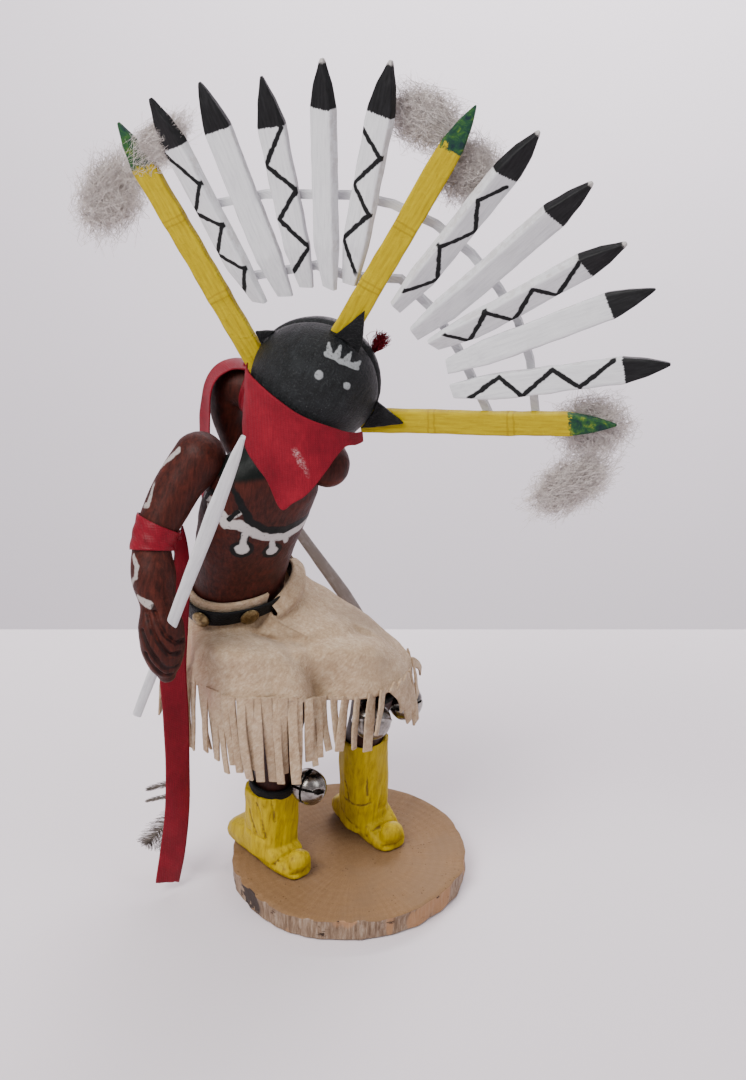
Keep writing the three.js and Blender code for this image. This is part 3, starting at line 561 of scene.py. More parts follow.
armPaint = {
    "right": [
        ([(-60.6, -9.0, 174.6), (-57.4, -10.6, 178.4), (-54.4, -11.2, 181.2)], 1.2, 0.9),
        ([(-64.0, -12.0, 171.5), (-64.6, -15.8, 166.6), (-65.2, -17.2, 163.8), (-67.6, -15.6, 163.2)], 0.95, 0.8),
        ([(-70.6, -20.3, 151.0), (-68.4, -22.5, 153.1)], 1.5, 0.6),
        ([(-70.6, -23.2, 147.6), (-69.0, -26.2, 145.4), (-69.2, -27.4, 141.9), (-71.0, -25.4, 138.8)], 0.95, 0.85),
        ([(-69.4, -29.0, 134.6), (-67.2, -30.5, 134.1), (-64.9, -31.6, 133.5)], 1.35, 0.85),
    ],
    "left": [],
}


def armFinish(name, marks, grooves):
    finish = Finish(name, Specular_IOR_Level=0.13)
    grain, worn, fine, colour = woodPaint(finish)
    place = finish.shaken(0.5, 1.1)
    rag = finish.noise(1.1, 3.0, 0.6)
    if marks:
        white = allOf(finish.stroke(path, place).between(width + 0.35, width - 0.35) * strength
                      for path, width, strength in marks)
        white = white * rag.between(0.2, 0.45)
        colour = finish.mix(white, colour, (0.48, 0.44, 0.42))
    # darker along the carved finger grooves: painted shade in the grooves
    for path in grooves:
        line = finish.stroke(path, place).between(1.15, 0.8)
        colour = finish.mix(line * 0.7, colour, (0.008, 0.004, 0.004))
    finish.colour(colour)
    finish.rough(fine * 0.2 + worn * 0.3 + 0.27)
    finish.bump(grain * 0.6 + fine * 0.4, 0.2)
    return finish


head = {
    "centre": (-8.6, -18, 208.8),
    "radius": 21.0,
    "grooveAt": -1.2,
    "groove": 0.9,
    "eyes": [((0.7, 11.9, 17.3), 1.45), ((10.0, 11.6, 14.3), 1.3)],
    "teeth": [  # foot, tip, foot radius, tip radius; in head sizes
        ((0.3, 17.6, 11.8), (-1.3, 19.2, 8.8), 1.15, 0.45),
        ((2.9, 17.5, 11.4), (2.3, 19.7, 7.5), 1.25, 0.4),
        ((6.2, 17.3, 10.3), (6.4, 19.3, 6.5), 1.25, 0.4),
        ((9.4, 16.7, 8.8), (10.5, 17.6, 5.7), 1.15, 0.45),
    ],
    "bar": [(-0.2, 17.1, 12.2), (2.4, 17.2, 11.8), (4.6, 16.9, 11.6), (7.4, 16.7, 10.4), (10.0, 16.3, 8.7)],
}
fanNormal = vec(-0.212, -0.976, -0.031).normalized()
fanUp = vec(0.418, -0.119, 0.9)
fanUp = (fanUp - fanNormal * fanUp.dot(fanNormal)).normalized()
fanRight = fanUp.cross(fanNormal)


def onHead(right, up, out):
    return Vector(head["centre"]) + fanRight * right + fanUp * up + fanNormal * out


def headPaint():
    finish = Finish("black_mask_paint", Specular_IOR_Level=0.17)
    place = finish.shaken(0.6, 0.8)
    brush = finish.stretched((fanRight, fanUp, fanNormal), (0.9, 0.25, 0.25))
    streaks = finish.noise(1.0, 4.0, 0.6, brush)
    fine = finish.noise(1.6, 4.0, 0.65)
    worn = finish.noise(0.16, 4.0, 0.6)
    colour = finish.ramp(streaks, (0.3, (0.003, 0.0036, 0.004)), (0.6, (0.009, 0.0105, 0.012)),
                         (0.8, (0.030, 0.034, 0.036)))
    colour = finish.mix(worn.between(0.5, 0.75) * 0.5, colour, (0.018, 0.021, 0.023))
    # light grey speckle on the fine noise: painted glints, standing in for the small highlights on the rough brushed
    # paint
    colour = finish.mix(fine.between(0.52, 0.68) * 0.5, colour, (0.05, 0.054, 0.056))
    chips = fine.between(0.66, 0.72) * worn.between(0.5, 0.6)
    colour = finish.mix(chips * 0.7, colour, (0.16, 0.15, 0.15))
    white = allOf(finish.spot(onHead(*spot), place).between(size + 0.2, size - 0.25) for spot, size in head["eyes"])
    for foot, tip, low, high in head["teeth"]:
        away = finish.stroke([onHead(*foot), onHead(*tip)], place, thin=low - high)
        white = white.most(away.between(low + 0.2, low - 0.2))
    bar = finish.stroke([onHead(*p) for p in head["bar"]], place).between(1.25, 0.85)
    white = white.most(bar)
    chalk = finish.noise(0.9, 4.0, 0.7)
    colour = finish.mix(white * chalk.between(0.22, 0.5) * 0.82, colour, (0.40, 0.42, 0.43))
    finish.colour(colour)
    finish.rough(streaks * 0.18 + fine * 0.16 + 0.27)
    finish.bump(streaks * 0.6 + fine * 0.9 + white * 0.3, 0.6)
    return finish


fan = {
    "centre": (-1.5, -16.1),
    "back": -4.25,
    "width": 8.6,
    "thickness": 4.2,
    "yellowWidth": 7.8,
    "yellowThickness": 3.6,
    "tip": 15.0,
    # angle and radius of the tip and of the root, twist, slant of the root, black end,
    # painted zigzag (across, from the tip)
    "white": [
        (-47.6, 112.5, -39.9, 40.8, -24, -1.6, 16.5,
         [(-3.9, 17.5), (3.7, 29.7), (-4.2, 37.9), (4.0, 44.3), (-3.9, 52.5), (3.8, 59.7), (-4.0, 69.0)]),
        (-39.2, 112.9, -27.6, 41.8, 3, -1.2, 15.5, None),
        (-29.1, 112.8, -18.6, 45.7, 3, -0.8, 15.5,
         [(3.4, 15.8), (-3.9, 26.9), (4.0, 35.9), (-3.4, 44.4), (4.2, 54.4), (-2.6, 62.2)]),
        (-19.6, 120.1, -9.9, 48.1, -30, -0.5, 15.0, None),
        (-10, 124.3, -3.4, 51.8, -20, 0.4, 16.5,
         [(-4.0, 22.4), (3.8, 29.2), (-3.7, 39.8), (3.6, 47.7), (-3.7, 57.9), (2.6, 68.7)]),
        (12.2, 128.1, 15, 54, 34, -1.4, 17.0,
         [(1.9, 19.8), (-3.3, 27.7), (3.4, 37.4), (-3.6, 47.0), (3.6, 57.4), (-4.3, 68.1)]),
        (22.1, 128.4, 26, 52.2, 24, -1.2, 16.0, None),
        (31.7, 126.2, 32.6, 55.4, 24, 1.2, 14.5,
         [(-3.6, 14.9), (3.6, 26.9), (-3.0, 31.8), (4.1, 43.2), (-3.9, 48.7), (3.4, 59.3), (-3.8, 65.4)]),
        (39.4, 127.7, 40.7, 56, -15, -0.9, 15.0, None),
        (50.8, 125.5, 49.8, 54.7, -10, 0.7, 14.5,
         [(-3.9, 16.9), (3.3, 29.0), (-3.3, 36.7), (3.8, 47.6), (-3.2, 53.9), (3.0, 65.6)]),
    ],
    "bindings": {"left": (35, 63), "middle": (44, 66.5), "right": (34, 60)},
    "yellow": {
        "left": (-55, 109.6, -57.9, 19, 0, 0),
        "middle": (3.2, 122.3, 4.2, 33, 0, 4.2),
        "right": (60.8, 106.7, 63.2, 23, 0, 0),
    },
}


def inFan(angle, radius, out):
    a = math.radians(angle)
    return onHead(fan["centre"][0] + radius * math.sin(a), fan["centre"][1] + radius * math.cos(a), out)


def slatAxes(row, width, thick, forward=0.0):
    tipAngle, tipRadius, rootAngle, rootRadius, twist = row[:5]
    twist = math.radians(twist)
    reach = width / 2 * abs(math.sin(twist)) + thick / 2 * math.cos(twist)
    root = inFan(rootAngle, rootRadius, fan["back"] + reach + forward)
    tip = inFan(tipAngle, tipRadius, fan["back"] + reach)
    direction = (tip - root).normalized()
    face = Matrix.Rotation(twist, 3, direction) @ fanNormal
    return root, tip, direction, direction.cross(face).normalized(), face


def whiteFinish(name, axes, blackEnd=0.0, zigzag=None, bareTip=False, seed=0.0, shadeAndStain=0.0, worn=0.25):
    root, tip, direction, side, face = axes
    finish = Finish(name)
    across = finish.dot(side, origin=root)
    fromTip = 0 - finish.dot(direction, origin=tip)
    place = finish.join(across * 1.5 + seed, fromTip * 0.11, finish.dot(face, origin=root) * 1.5)
    grain = finish.noise(1.0, 5.0, 0.62, place)
    blotch = finish.noise(0.28, 3.0, 0.55)
    fine = finish.noise(2.2, 3.0, 0.6)
    colour = finish.ramp(grain, (0.25, (0.58, 0.58, 0.61)), (0.5, (0.72, 0.72, 0.745)), (0.75, (0.80, 0.80, 0.815)))
    colour = finish.mix(blotch.between(0.55, 0.78) * 0.3, colour, (0.58, 0.57, 0.58))
    edge = abs(across).between(3.8, 4.15) * finish.noise(0.35, 4.0, 0.7).between(0.44, 0.58)
    colour = finish.mix(edge * worn, colour, (0.30, 0.22, 0.18))
    # grey-brown darkening of the paint: on the left sword (0.95) it is painted shade, as that stick lies in shade
    # behind the body; on the right sword (0.08) it is only a slight darkening
    if shadeAndStain:
        shadeAndDirt = (grain * 0.5 + blotch * 0.5).between(0.25, 0.55) * 0.3 + 0.7
        colour = finish.mix(shadeAndDirt * shadeAndStain, colour, (0.25, 0.215, 0.195))
    if zigzag:
        width = 0.7
        flat = finish.shaken(0.5, 1.1, finish.join(across, fromTip, 0), 3.0)
        flat = finish.vector("MULTIPLY", flat, (1, 1, 0))
        away = finish.stroke([(x, y, 0) for x, y in zigzag], flat)
        onFace = finish.dot(face, origin=root).between(0.2, 0.8)
        paint = away.between(width + 0.28, width - 0.12) * onFace
        dry = finish.noise(1.4, 3.0, 0.7).between(0.16, 0.3)
        colour = finish.mix(paint * dry, colour, (0.008, 0.008, 0.009))
    if blackEnd:
        streak = finish.noise(1.0, 3.0, 0.7, finish.join(across * 1.6 + seed, fromTip * 0.06, 0.0))
        limit = fromTip + streak * 2.4 - 1.2
        black = limit.between(blackEnd + 0.2, blackEnd - 0.2)
        colour = finish.mix(black, colour,
                            finish.ramp(grain, (0.3, (0.004, 0.004, 0.0045)), (0.8, (0.020, 0.020, 0.022))))
        if bareTip:
            bare = (fromTip + fine * 1.6).between(2.4, 1.6)
            colour = finish.mix(bare * 0.85, colour, (0.55, 0.52, 0.50))
        finish.rough(0.66 - black * 0.22 + fine * 0.1)
    else:
        finish.rough(fine * 0.15 + 0.58)
    finish.colour(colour)
    finish.bump(grain * 0.75 + fine * 0.25, 0.16)
    return finish


def yellowFinish(name, axes, greenEnd, bindings):
    root, tip, direction, side, _ = axes
    finish = Finish(name)
    across = finish.dot(side, origin=root)
    fromTip = 0 - finish.dot(direction, origin=tip)
    grain = finish.noise(1.0, 5.0, 0.6, finish.join(across * 1.1, fromTip * 0.1, 0.0))
    crease = finish.noise(1.0, 4.0, 0.65, finish.join(across * 0.35, fromTip * 0.5, 0.0), 0.8)
    fine = finish.noise(2.0, 3.0, 0.6)
    colour = finish.ramp(grain, (0.28, (0.33, 0.225, 0.0)), (0.5, (0.46, 0.335, 0.0)), (0.75, (0.56, 0.435, 0.001)))
    colour = finish.mix(crease.between(0.55, 0.8) * 0.35, colour, (0.70, 0.56, 0.01))
    fold = finish.noise(0.25, 3.0, 0.6) * 1.6 - 0.8
    for place in bindings:
        for offset in (-1.1, 0.9):
            line = abs(fromTip + fold - (place + offset)).between(0.5, 0.15)
            colour = finish.mix(line * 0.55, colour, (0.28, 0.18, 0.002))
    streak = finish.noise(0.42, 3.0, 0.7)
    end = (fromTip + streak * 7 - 3.5).between(greenEnd + 0.4, greenEnd - 0.4)
    patches = finish.noise(0.34, 4.0, 0.68, distortion=0.6)
    green = finish.ramp(patches, (0.33, (0.008, 0.024, 0.030)), (0.46, (0.012, 0.055, 0.028)),
                        (0.58, (0.035, 0.11, 0.022)), (0.7, (0.22, 0.26, 0.02)))
    colour = finish.mix(end, colour, green)
    finish.colour(colour)
    finish.rough(fine * 0.2 + 0.48)
    finish.bump(crease * 0.7 + grain * 0.3, 0.4)
    return finish


def bootFinish(name, marks):
    finish = Finish(name)
    worn = finish.noise(0.22, 5.0, 0.65)
    fine = finish.noise(1.6, 4.0, 0.65)
    brush = fibres(finish, (0.1, 0.2, 1), 0.8)
    colour = finish.ramp(brush, (0.28, (0.30, 0.19, 0.0)), (0.5, (0.48, 0.335, 0.0)), (0.74, (0.60, 0.44, 0.002)))
    scuff = worn.between(0.60, 0.72) * fine.between(0.42, 0.60)
    colour = finish.mix(scuff * 0.55, colour, (0.13, 0.085, 0.03))
    groove = brush.between(0.36, 0.27) * worn.between(0.45, 0.58)
    colour = finish.mix(groove * 0.8, colour, (0.14, 0.07, 0.02))
    place = finish.shaken(0.7, 0.9)
    for path in marks:
        line = finish.stroke(path, place).between(0.75, 0.25)
        colour = finish.mix(line * 0.75, colour, (0.10, 0.05, 0.015))
    finish.colour(colour)
    finish.rough(fine * 0.25 + 0.40)
    finish.bump(brush * 0.4 + fine * 0.6, 0.25)
    return finish


def sliceFinish():
    finish = Finish("log_slice")
    pith = finish.vector("SUBTRACT", finish.point, (3.5, -4.0, 0))
    warp = finish.noise(0.035, 2.0, 0.5)
    radius = finish.vector("LENGTH", finish.vector("MULTIPLY", pith, (1, 1, 0)), output="Value") + warp * 6
    yearly = (radius * 1.9).sine()
    x, y = finish.axis("X", pith), finish.axis("Y", pith)
    angle = x.maths("ARCTAN2", y, x)
    rays = finish.noise(1.0, 4.0, 0.7, finish.join(angle * 26, radius * 0.05, 0.0))
    fine = finish.noise(2.6, 4.0, 0.65)
    blotch = finish.noise(0.045, 4.0, 0.6)
    top = finish.ramp(rays * 0.28 + fine * 0.45 + yearly * 0.015 + 0.13, (0.3, (0.16, 0.085, 0.038)),
                      (0.5, (0.25, 0.14, 0.064)), (0.7, (0.35, 0.215, 0.112)))
    top = finish.mix(blotch.between(0.45, 0.7) * 0.5, top, (0.22, 0.135, 0.075))
    specks = finish.cells(0.55).between(0.22, 0.10) * finish.noise(0.16, 2.0).between(0.50, 0.58)
    top = finish.mix(specks * 0.75, top, (0.07, 0.035, 0.018))
    nearEdge = radius.between(36, 47)
    crack = rays.between(0.36, 0.30) * nearEdge
    top = finish.mix(crack * 0.8, top, (0.10, 0.055, 0.03))
    barkNoise = finish.noise(0.10, 5.0, 0.7, finish.vector("MULTIPLY", finish.point, (1, 1, 2.5)))
    vertical = finish.noise(1.0, 4.0, 0.7, finish.vector("MULTIPLY", finish.point, (0.9, 0.9, 0.12)))
    sideColour = finish.ramp(vertical, (0.3, (0.13, 0.08, 0.05)), (0.5, (0.29, 0.195, 0.13)),
                             (0.7, (0.45, 0.35, 0.27)))
    ochre = finish.noise(0.075, 2.0, 0.5, finish.vector("MULTIPLY", finish.point, (1, 1, 0.4)))
    sideColour = finish.mix(ochre.between(0.56, 0.60) * 0.75, sideColour, (0.47, 0.25, 0.12))
    sideColour = finish.mix(barkNoise.between(0.60, 0.66), sideColour, (0.045, 0.028, 0.020))
    bark = finish.spot((-36, -24, 4)).between(8, 6) * finish.noise(0.3, 3.0, 0.6).between(0.36, 0.44)
    sideColour = finish.mix(bark, sideColour, (0.055, 0.04, 0.034))
    upward = finish.axis("Z", finish.node("ShaderNodeNewGeometry", output="Normal"))
    isTop = abs(upward).between(0.55, 0.8)
    finish.colour(finish.mix(isTop, sideColour, top))
    finish.rough(fine * 0.2 + 0.56)
    topRelief = rays * 0.35 + fine * 0.35 + yearly * 0.06
    finish.bump(topRelief * isTop + (1 - isTop) * (vertical * 0.7 + barkNoise * 0.8), 0.4)
    return finish


def suedeFinish(name="napped_suede"):
    finish = Finish(name, Sheen_Weight=0.15, Sheen_Roughness=0.5)
    nap = finish.noise(1.5, 5.0, 0.75)
    cloud = finish.noise(0.06, 4.0, 0.6)
    mottle = finish.noise(0.35, 4.0, 0.65)
    brushWays = ((0.6, -0.3, 0.7), (0.7, 0.6, -0.3), (-0.4, 0.7, 0.6))
    brushed = finish.noise(1.0, 4.0, 0.7, finish.stretched(brushWays, (0.35, 1.3, 1.3)))
    colour = finish.ramp(mottle * 0.45 + brushed * 0.55, (0.34, (0.36, 0.23, 0.13)), (0.5, (0.54, 0.38, 0.24)),
                         (0.66, (0.72, 0.565, 0.395)))
    colour = finish.mix(cloud.between(0.45, 0.7) * 0.4, colour, (0.46, 0.33, 0.21))
    # the first two spots, darker brown, are painted shade: on the kilt's upper right side under the body, and at the
    # front under the belt; the last three, pinker, are stains
    for spot, size, tint, strength in (
        ((6, 14, 101), 18, (0.30, 0.215, 0.145), 0.7),
        ((-20, -2, 106), 7, (0.34, 0.245, 0.165), 0.5),
        ((-55, -2, 98), 15, (0.66, 0.36, 0.27), 0.55),
        ((-48, -14, 88), 11, (0.66, 0.40, 0.31), 0.42),
        ((-30, -22, 80), 12, (0.60, 0.46, 0.36), 0.25),
    ):
        away = finish.spot(spot) + mottle * 8
        colour = finish.mix(away.between(size + 4, 2) * strength, colour, tint)
    colour = finish.mix(nap.between(0.55, 0.8) * 0.35, colour, (0.82, 0.71, 0.57))
    colour = finish.mix(nap.between(0.45, 0.25) * 0.35, colour, (0.36, 0.25, 0.16))
    finish.colour(colour)
    finish.rough(nap * 0.1 + 0.86)
    finish.bump(nap * 0.6 + brushed * 0.6 + mottle * 0.4, 0.7)
    return finish


def leatherFinish(name, gloss=0.38):
    finish = Finish(name)
    grain = finish.cells(1.1, "DISTANCE_TO_EDGE")
    cloud = finish.noise(0.4, 4.0, 0.65)
    fine = finish.noise(1.8, 3.0, 0.6)
    colour = finish.ramp(cloud, (0.3, (0.003, 0.0035, 0.004)), (0.6, (0.007, 0.0075, 0.0085)),
                         (0.8, (0.022, 0.022, 0.023)))
    finish.colour(colour)
    finish.rough(fine * 0.3 + gloss)
    finish.bump(grain.between(0, 0.25) * 0.5 + fine * 0.6, 0.22)
    return finish


def clothFinish(name, direction=(0, 0, 1), side=(1, 0, 0), shine=0.55, lint=False):
    finish = Finish(name)
    u = finish.dot(Vector(side).normalized())
    v = finish.dot(Vector(direction).normalized())
    weave = (u * 8.5).sine() * 0.5 + (v * 8.5).sine() * 0.5
    cloud = finish.noise(0.1, 4.0, 0.6)
    slub = finish.noise(1.0, 3.0, 0.6, finish.join(u * 2.2, v * 0.25, 0.0))
    colour = finish.ramp(cloud * 0.6 + slub * 0.4, (0.3, (0.12, 0.002, 0.008)), (0.5, (0.20, 0.004, 0.014)),
                         (0.7, (0.29, 0.009, 0.022)))
    colour = finish.mix(weave.between(0.2, 1.0) * 0.10, colour, (0.36, 0.04, 0.06))
    if lint:
        for path, width in (
            ([(-27.5, -37.4, 199.3), (-27.2, -38.2, 196.4)], 1.6),
            ([(-20.5, -41.2, 195.6), (-20.0, -41.6, 194.9)], 0.5),
            ([(-14.6, -42.6, 194.5), (-12.2, -43.2, 190.4)], 0.8),
            ([(-11.5, -43.0, 189.2), (-10.4, -43.4, 186.2)], 0.35),
            ([(-2.0, -41.4, 190.4), (-1.4, -41.8, 188.4)], 0.5),
        ):
            down = finish.noise(1.6, 4.0, 0.75)
            away = finish.stroke(path, finish.shaken(0.8, 1.2))
            mark = away.between(width + 1.4, width - 0.4) * down.between(0.4, 0.62)
            colour = finish.mix(mark * 0.7, colour, (0.78, 0.60, 0.60))
    finish.colour(colour)
    finish.rough(slub * 0.15 + shine)
    finish.bump(weave * 0.35 + slub * 0.4, 0.10)
    return finish


def brassFinish():
    finish = Finish("worn_brass")
    cloud = finish.noise(0.8, 4.0, 0.65)
    fine = finish.noise(2.5, 3.0, 0.6)
    finish.colour(finish.ramp(cloud, (0.3, (0.10, 0.065, 0.03)), (0.55, (0.26, 0.19, 0.09)),
                              (0.75, (0.42, 0.33, 0.18))))
    finish.connect("Metallic", 1.0 - cloud.between(0.42, 0.30) * 0.5)
    finish.rough(fine * 0.25 + 0.24)
    finish.bump(fine, 0.06)
    return finish


def nickelFinish():
    finish = Finish("nickel", Metallic=1.0)
    cloud = finish.noise(0.35, 4.0, 0.65)
    fine = finish.noise(2.2, 4.0, 0.65)
    colour = finish.ramp(cloud, (0.3, (0.15, 0.135, 0.125)), (0.5, (0.30, 0.28, 0.26)), (0.7, (0.45, 0.43, 0.40)))
    finish.colour(finish.mix(fine.between(0.62, 0.75) * 0.4, colour, (0.22, 0.19, 0.16)))
    finish.rough(cloud * 0.16 + fine * 0.08 + 0.12)
    finish.bump(fine * 0.3 + cloud, 0.05)
    return finish


def hairFinish(name, dark, middle, light, scale=0.35):
    finish = Finish(name, Sheen_Weight=0.2)
    cloud = finish.noise(scale, 3.0, 0.6)
    fine = finish.noise(1.5, 2.0, 0.5)
    finish.colour(finish.ramp(cloud * 0.6 + fine * 0.4, (0.32, dark), (0.5, middle), (0.68, light)))
    finish.rough(fine * 0.2 + 0.75)
    finish.bump(fine, 0.05)
    return finish


logSlice = {
    "radius": 44.5,
    "thickness": 9.0,
    "centre": (0.7, 1.6),
}


def wobble(a, seed):
    return math.sin(3 * a + seed) + 0.6 * math.sin(7 * a + 2.3 * seed) + 0.4 * math.sin(13 * a + seed)


def makeSlice():
    mesh = bmesh.new()
    r, high = logSlice["radius"], logSlice["thickness"]
    centre = vec(*logSlice["centre"], 0)
    profile = [(0, 0), (0.3 * r, 0), (0.6 * r, 0), (r - 2, 0), (r - 0.8, 0.4)]
    profile += [(r - 0.25, high * k / 12) for k in range(1, 12)]
    profile += [(r - 0.2, high - 0.5), (r - 0.7, high), (r - 3, high), (r - 8, high), (0.55 * r, high),
                (0.25 * r, high), (0, high)]

    def place(u, v):
        radius, z = onProfile(profile, v)
        a = 2 * math.pi * u
        rim = max(0, (radius - 0.8 * r) / (0.2 * r))
        radius += rim * 0.35 * wobble(a, 1.3)
        side = 1 if 0.3 < z < high - 0.2 else 0.25
        rough = softNoise(polar(a, 30, z * 0.5), 0.35) * 0.55
        bark = max(0, softNoise(polar(a, 9, z * 0.3), 0.35, 4.0) - 0.05) * 1.6
        radius += rim * side * (rough + bark)
        return centre + polar(a, radius, z)

    mapped(mesh, 260, len(profile) - 1, place)
    finished(mesh, "logSlice", sliceFinish(), "base_slice", smooth=50, recalculate=True)


body = {
    "facing": 22,
    "power": 2.2,
    "voxel": 0.62,
    "rounds": 6,
    "torso": [
        (-38, 15.5, 99, 12, 9), (-38.6, 15, 107, 16.4, 12), (-38.6, 13, 117, 17, 12.5), (-36.4, 8.5, 130, 17.2, 12.5),
        (-33.2, 3, 145, 18.6, 13.2), (-29.8, -0.5, 157, 19.6, 13.2), (-25.8, -3.5, 167, 19.6, 12),
        (-22, -5.5, 174, 15, 10),
        (-19, -7.5, 179, 10.5, 9), (-15, -12, 189, 9.5, 9), (-12, -15, 197, 9, 9),
    ],
    "rightLeg": [
        (-40, 9, 100, 8, 8), (-32, -3, 95.5, 7.8, 7.8), (-21, -14.8, 90.5, 8.6, 8.6), (-22, -13, 78, 8.2, 8.2),
        (-25.5, -7, 58, 7.4, 7.4), (-27, -3, 42, 7, 7), (-27.5, -2, 34, 6.5, 6.5),
    ],
    "leftLeg": [
        (-30, 17, 101, 8.4, 8.4), (-9, 8.5, 96, 7.6, 7.6), (9.5, -0.6, 90.5, 8.4, 8.4), (10.6, 3.4, 80, 7.6, 7.6),
        (9, 9, 66, 7.2, 7.2), (6.8, 12.5, 52, 7, 7), (6.6, 13, 45, 6.5, 6.5),
    ],
    "rightArm": [
        (-48.2, -7.5, 177, 9, 9), (-54, -9.5, 170, 8.3, 8.8), (-60.4, -13.5, 159.5, 7.5, 8.2),
        (-64.4, -17.5, 150, 6.5, 7.4),
        (-64.2, -22.5, 140, 7.8, 7.6), (-62.6, -26.5, 131, 6.2, 6), (-61.8, -29, 124, 7.8, 7.2),
        (-61.4, -30.5, 117, 7.8, 7.8),
        (-61, -31, 110, 5.6, 6), (-60.6, -31, 106.5, 3.4, 3.6),
    ],
    "leftArm": [
        (-5.4, 4.5, 169, 8, 8), (-9, 11, 172, 8.2, 8.2), (-19.5, 20.5, 180.5, 8, 8), (-31, 26.5, 187.5, 7.8, 7.8),
        (-38.2, 29.5, 188.6, 7.6, 7.6), (-41, 31.5, 180, 6.9, 6.9), (-39, 32, 169, 6.3, 6.3), (-35, 32, 159.5, 6, 6),
        (-31.5, 32.5, 151.5, 7.4, 7.4), (-28, 33, 144.5, 5.5, 5.5),
    ],
    "rightFingers": [
        [(-66.2, -32.1, 131.1), (-64.7, -35.5, 127.3), (-62.4, -37.2, 122.8), (-58.6, -37.6, 117.6),
         (-55.1, -35.0, 116.9)],
        [(-67.6, -34.0, 124.9), (-65.6, -36.4, 120.4), (-63.0, -38.1, 116.3), (-60.2, -36.8, 112.4),
         (-56.7, -34.9, 112.1)],
        [(-63.7, -32.1, 133.1), (-61.9, -35.0, 128.9), (-59.3, -36.5, 124.3), (-56.2, -35.4, 121.0),
         (-53.9, -31.4, 119.9)],
        [(-66.4, -36.0, 117.3), (-62.8, -36.6, 110.6), (-60.5, -36.3, 108.5), (-58.2, -35.4, 108.5)],
    ],
    "leftFingers": [
        [(-38.5, 27, 153.5), (-33, 25, 152.0), (-26, 28, 153.0)],
        [(-38.0, 28, 149.5), (-32, 26, 147.5), (-25, 29, 149.0)],
    ],
}
facing = vec(math.cos(math.radians(body["facing"])), math.sin(math.radians(body["facing"])), 0)
armHint = vec(0.93, 0.37, 0)
backHint = vec(0.4, -0.9, 0.2)
torsoAt = along(body["torso"], facing)
arms = {
    "right": {
        "hint": armHint, "ends": 0.09, "voxel": 0.42, "rounds": 5,
        "grooveWidth": 0.75, "grooveDepth": 1.15, "handUnder": 132,
    },
    "left": {
        "hint": backHint, "ends": 0.07, "voxel": 0.55, "rounds": 4,
        "grooveWidth": 0.55, "grooveDepth": 0.7, "handUnder": 158,
    },
}


def knifeMarks(point):
    return softNoise(point, 0.10, 2.0) * 0.35 + softNoise(point, 0.35, 5.0) * 0.10


def makeBody():
    mesh = bmesh.new()
    tube(mesh, torsoAt, 40, 48, power=body["power"])
    for name in ("rightLeg", "leftLeg"):
        tube(mesh, along(body[name], facing), 28, 44, ends=0.08)
    closeEnds(mesh)
    mesh = remeshed(mesh, body["voxel"], body["rounds"])
    worked(mesh, knifeMarks)
    finished(mesh, "carvedBody", bodyPaint(), "carved_body")

    for name, spec in arms.items():
        paths = body[f"{name}Fingers"]
        fingers = [[Vector(p) for p in path] for path in paths]
        mesh = bmesh.new()
        tube(mesh, along(body[f"{name}Arm"], spec["hint"]), 32, 60, ends=spec["ends"])
        mesh = remeshed(mesh, spec["voxel"], spec["rounds"])

        def shape(p):
            carved = cut(p, fingers, spec["grooveWidth"], spec["grooveDepth"]) if p.z < spec["handUnder"] else 0
            return 0.8 * knifeMarks(p) + carved

        worked(mesh, shape)
        finish = armFinish(f"{name}_arm_paint", armPaint[name], paths)
        finished(mesh, f"{name}Arm", finish, f"{name}_arm")


def makeHead():
    mesh = bmesh.new()
    r = head["radius"]

    def place(u, v):
        a = math.radians(-90 + 180 * v)
        out = math.sin(a) * r
        groove = head["groove"] * math.exp(-(((out - head["grooveAt"]) / 0.8) ** 2))
        behind = 0.5 / (1 + math.exp((out + 2.6) * 3))
        radius = max(math.cos(a) * (r + behind) - groove, 0)
        turn = 2 * math.pi * u
        point = onHead(math.cos(turn) * radius, math.sin(turn) * radius, out)
        swell = softNoise(point, 0.09, 1.0) * 0.30 + softNoise(point, 0.4, 7.0) * 0.07
        return point + (point - Vector(head["centre"])).normalized() * swell * min(1, radius / 3)

    mapped(mesh, 150, 84, place)
    finished(mesh, "maskHead", headPaint(), "mask_head", recalculate=True)


def slatPiece(name, axes, width, thick, stations, slant, finish, node, seed, sway=0.25, ridges=()):
    root, tip, direction, side, face = axes
    length = (tip - root).length
    sizes = stations(length)
    mesh = bmesh.new()

    def place(u, v):
        share, cap = capped(v, 0.012)
        s = length * share
        w, d = onStations(sizes, s)
        w = w * width / 2 + 0.13 * softNoise((s, seed * 9, 0), 0.16) * 2
        h = d * thick / 2 + sum(0.3 * math.exp(-(((length - s - ridge) / 1.3) ** 2)) for ridge in ridges)
        sink = thick / 2 * (1 - d) if s < length / 2 else 0
        a = 2 * math.pi * u
        x = w * bend(math.cos(a), 7) * cap
        y = h * bend(math.sin(a), 6) * cap
        lean = slant * (x / (width / 2)) * max(0, 1 - s / 14)
        swing = sway * softNoise((s, 0, seed * 5), 0.035) * math.sin(math.pi * s / length)
        skin = 0.05 * softNoise((x * 1.5, s * 0.3, seed), 0.8) if y > 0 else 0
        return root + direction * (s + lean) + side * (x + swing) + face * (y - sink + swing * 0.8 + skin)

    mapped(mesh, 48, 72, place)
    finished(mesh, name, finish, node, smooth=35, recalculate=True)


def whiteStations(length):
    tip = fan["tip"]
    return [(0, 0.54, 0.5), (14, 0.95, 1), (length - tip, 1, 1), (length - tip / 2, 0.64, 0.84),
            (length - 0.8, 0.16, 0.4), (length, 0.08, 0.24)]


def yellowStations(length):
    tip = fan["tip"]
    return [(0, 1, 1), (length - tip, 1, 1), (length - tip / 2, 0.64, 0.84), (length - 0.8, 0.14, 0.4),
            (length, 0.07, 0.24)]


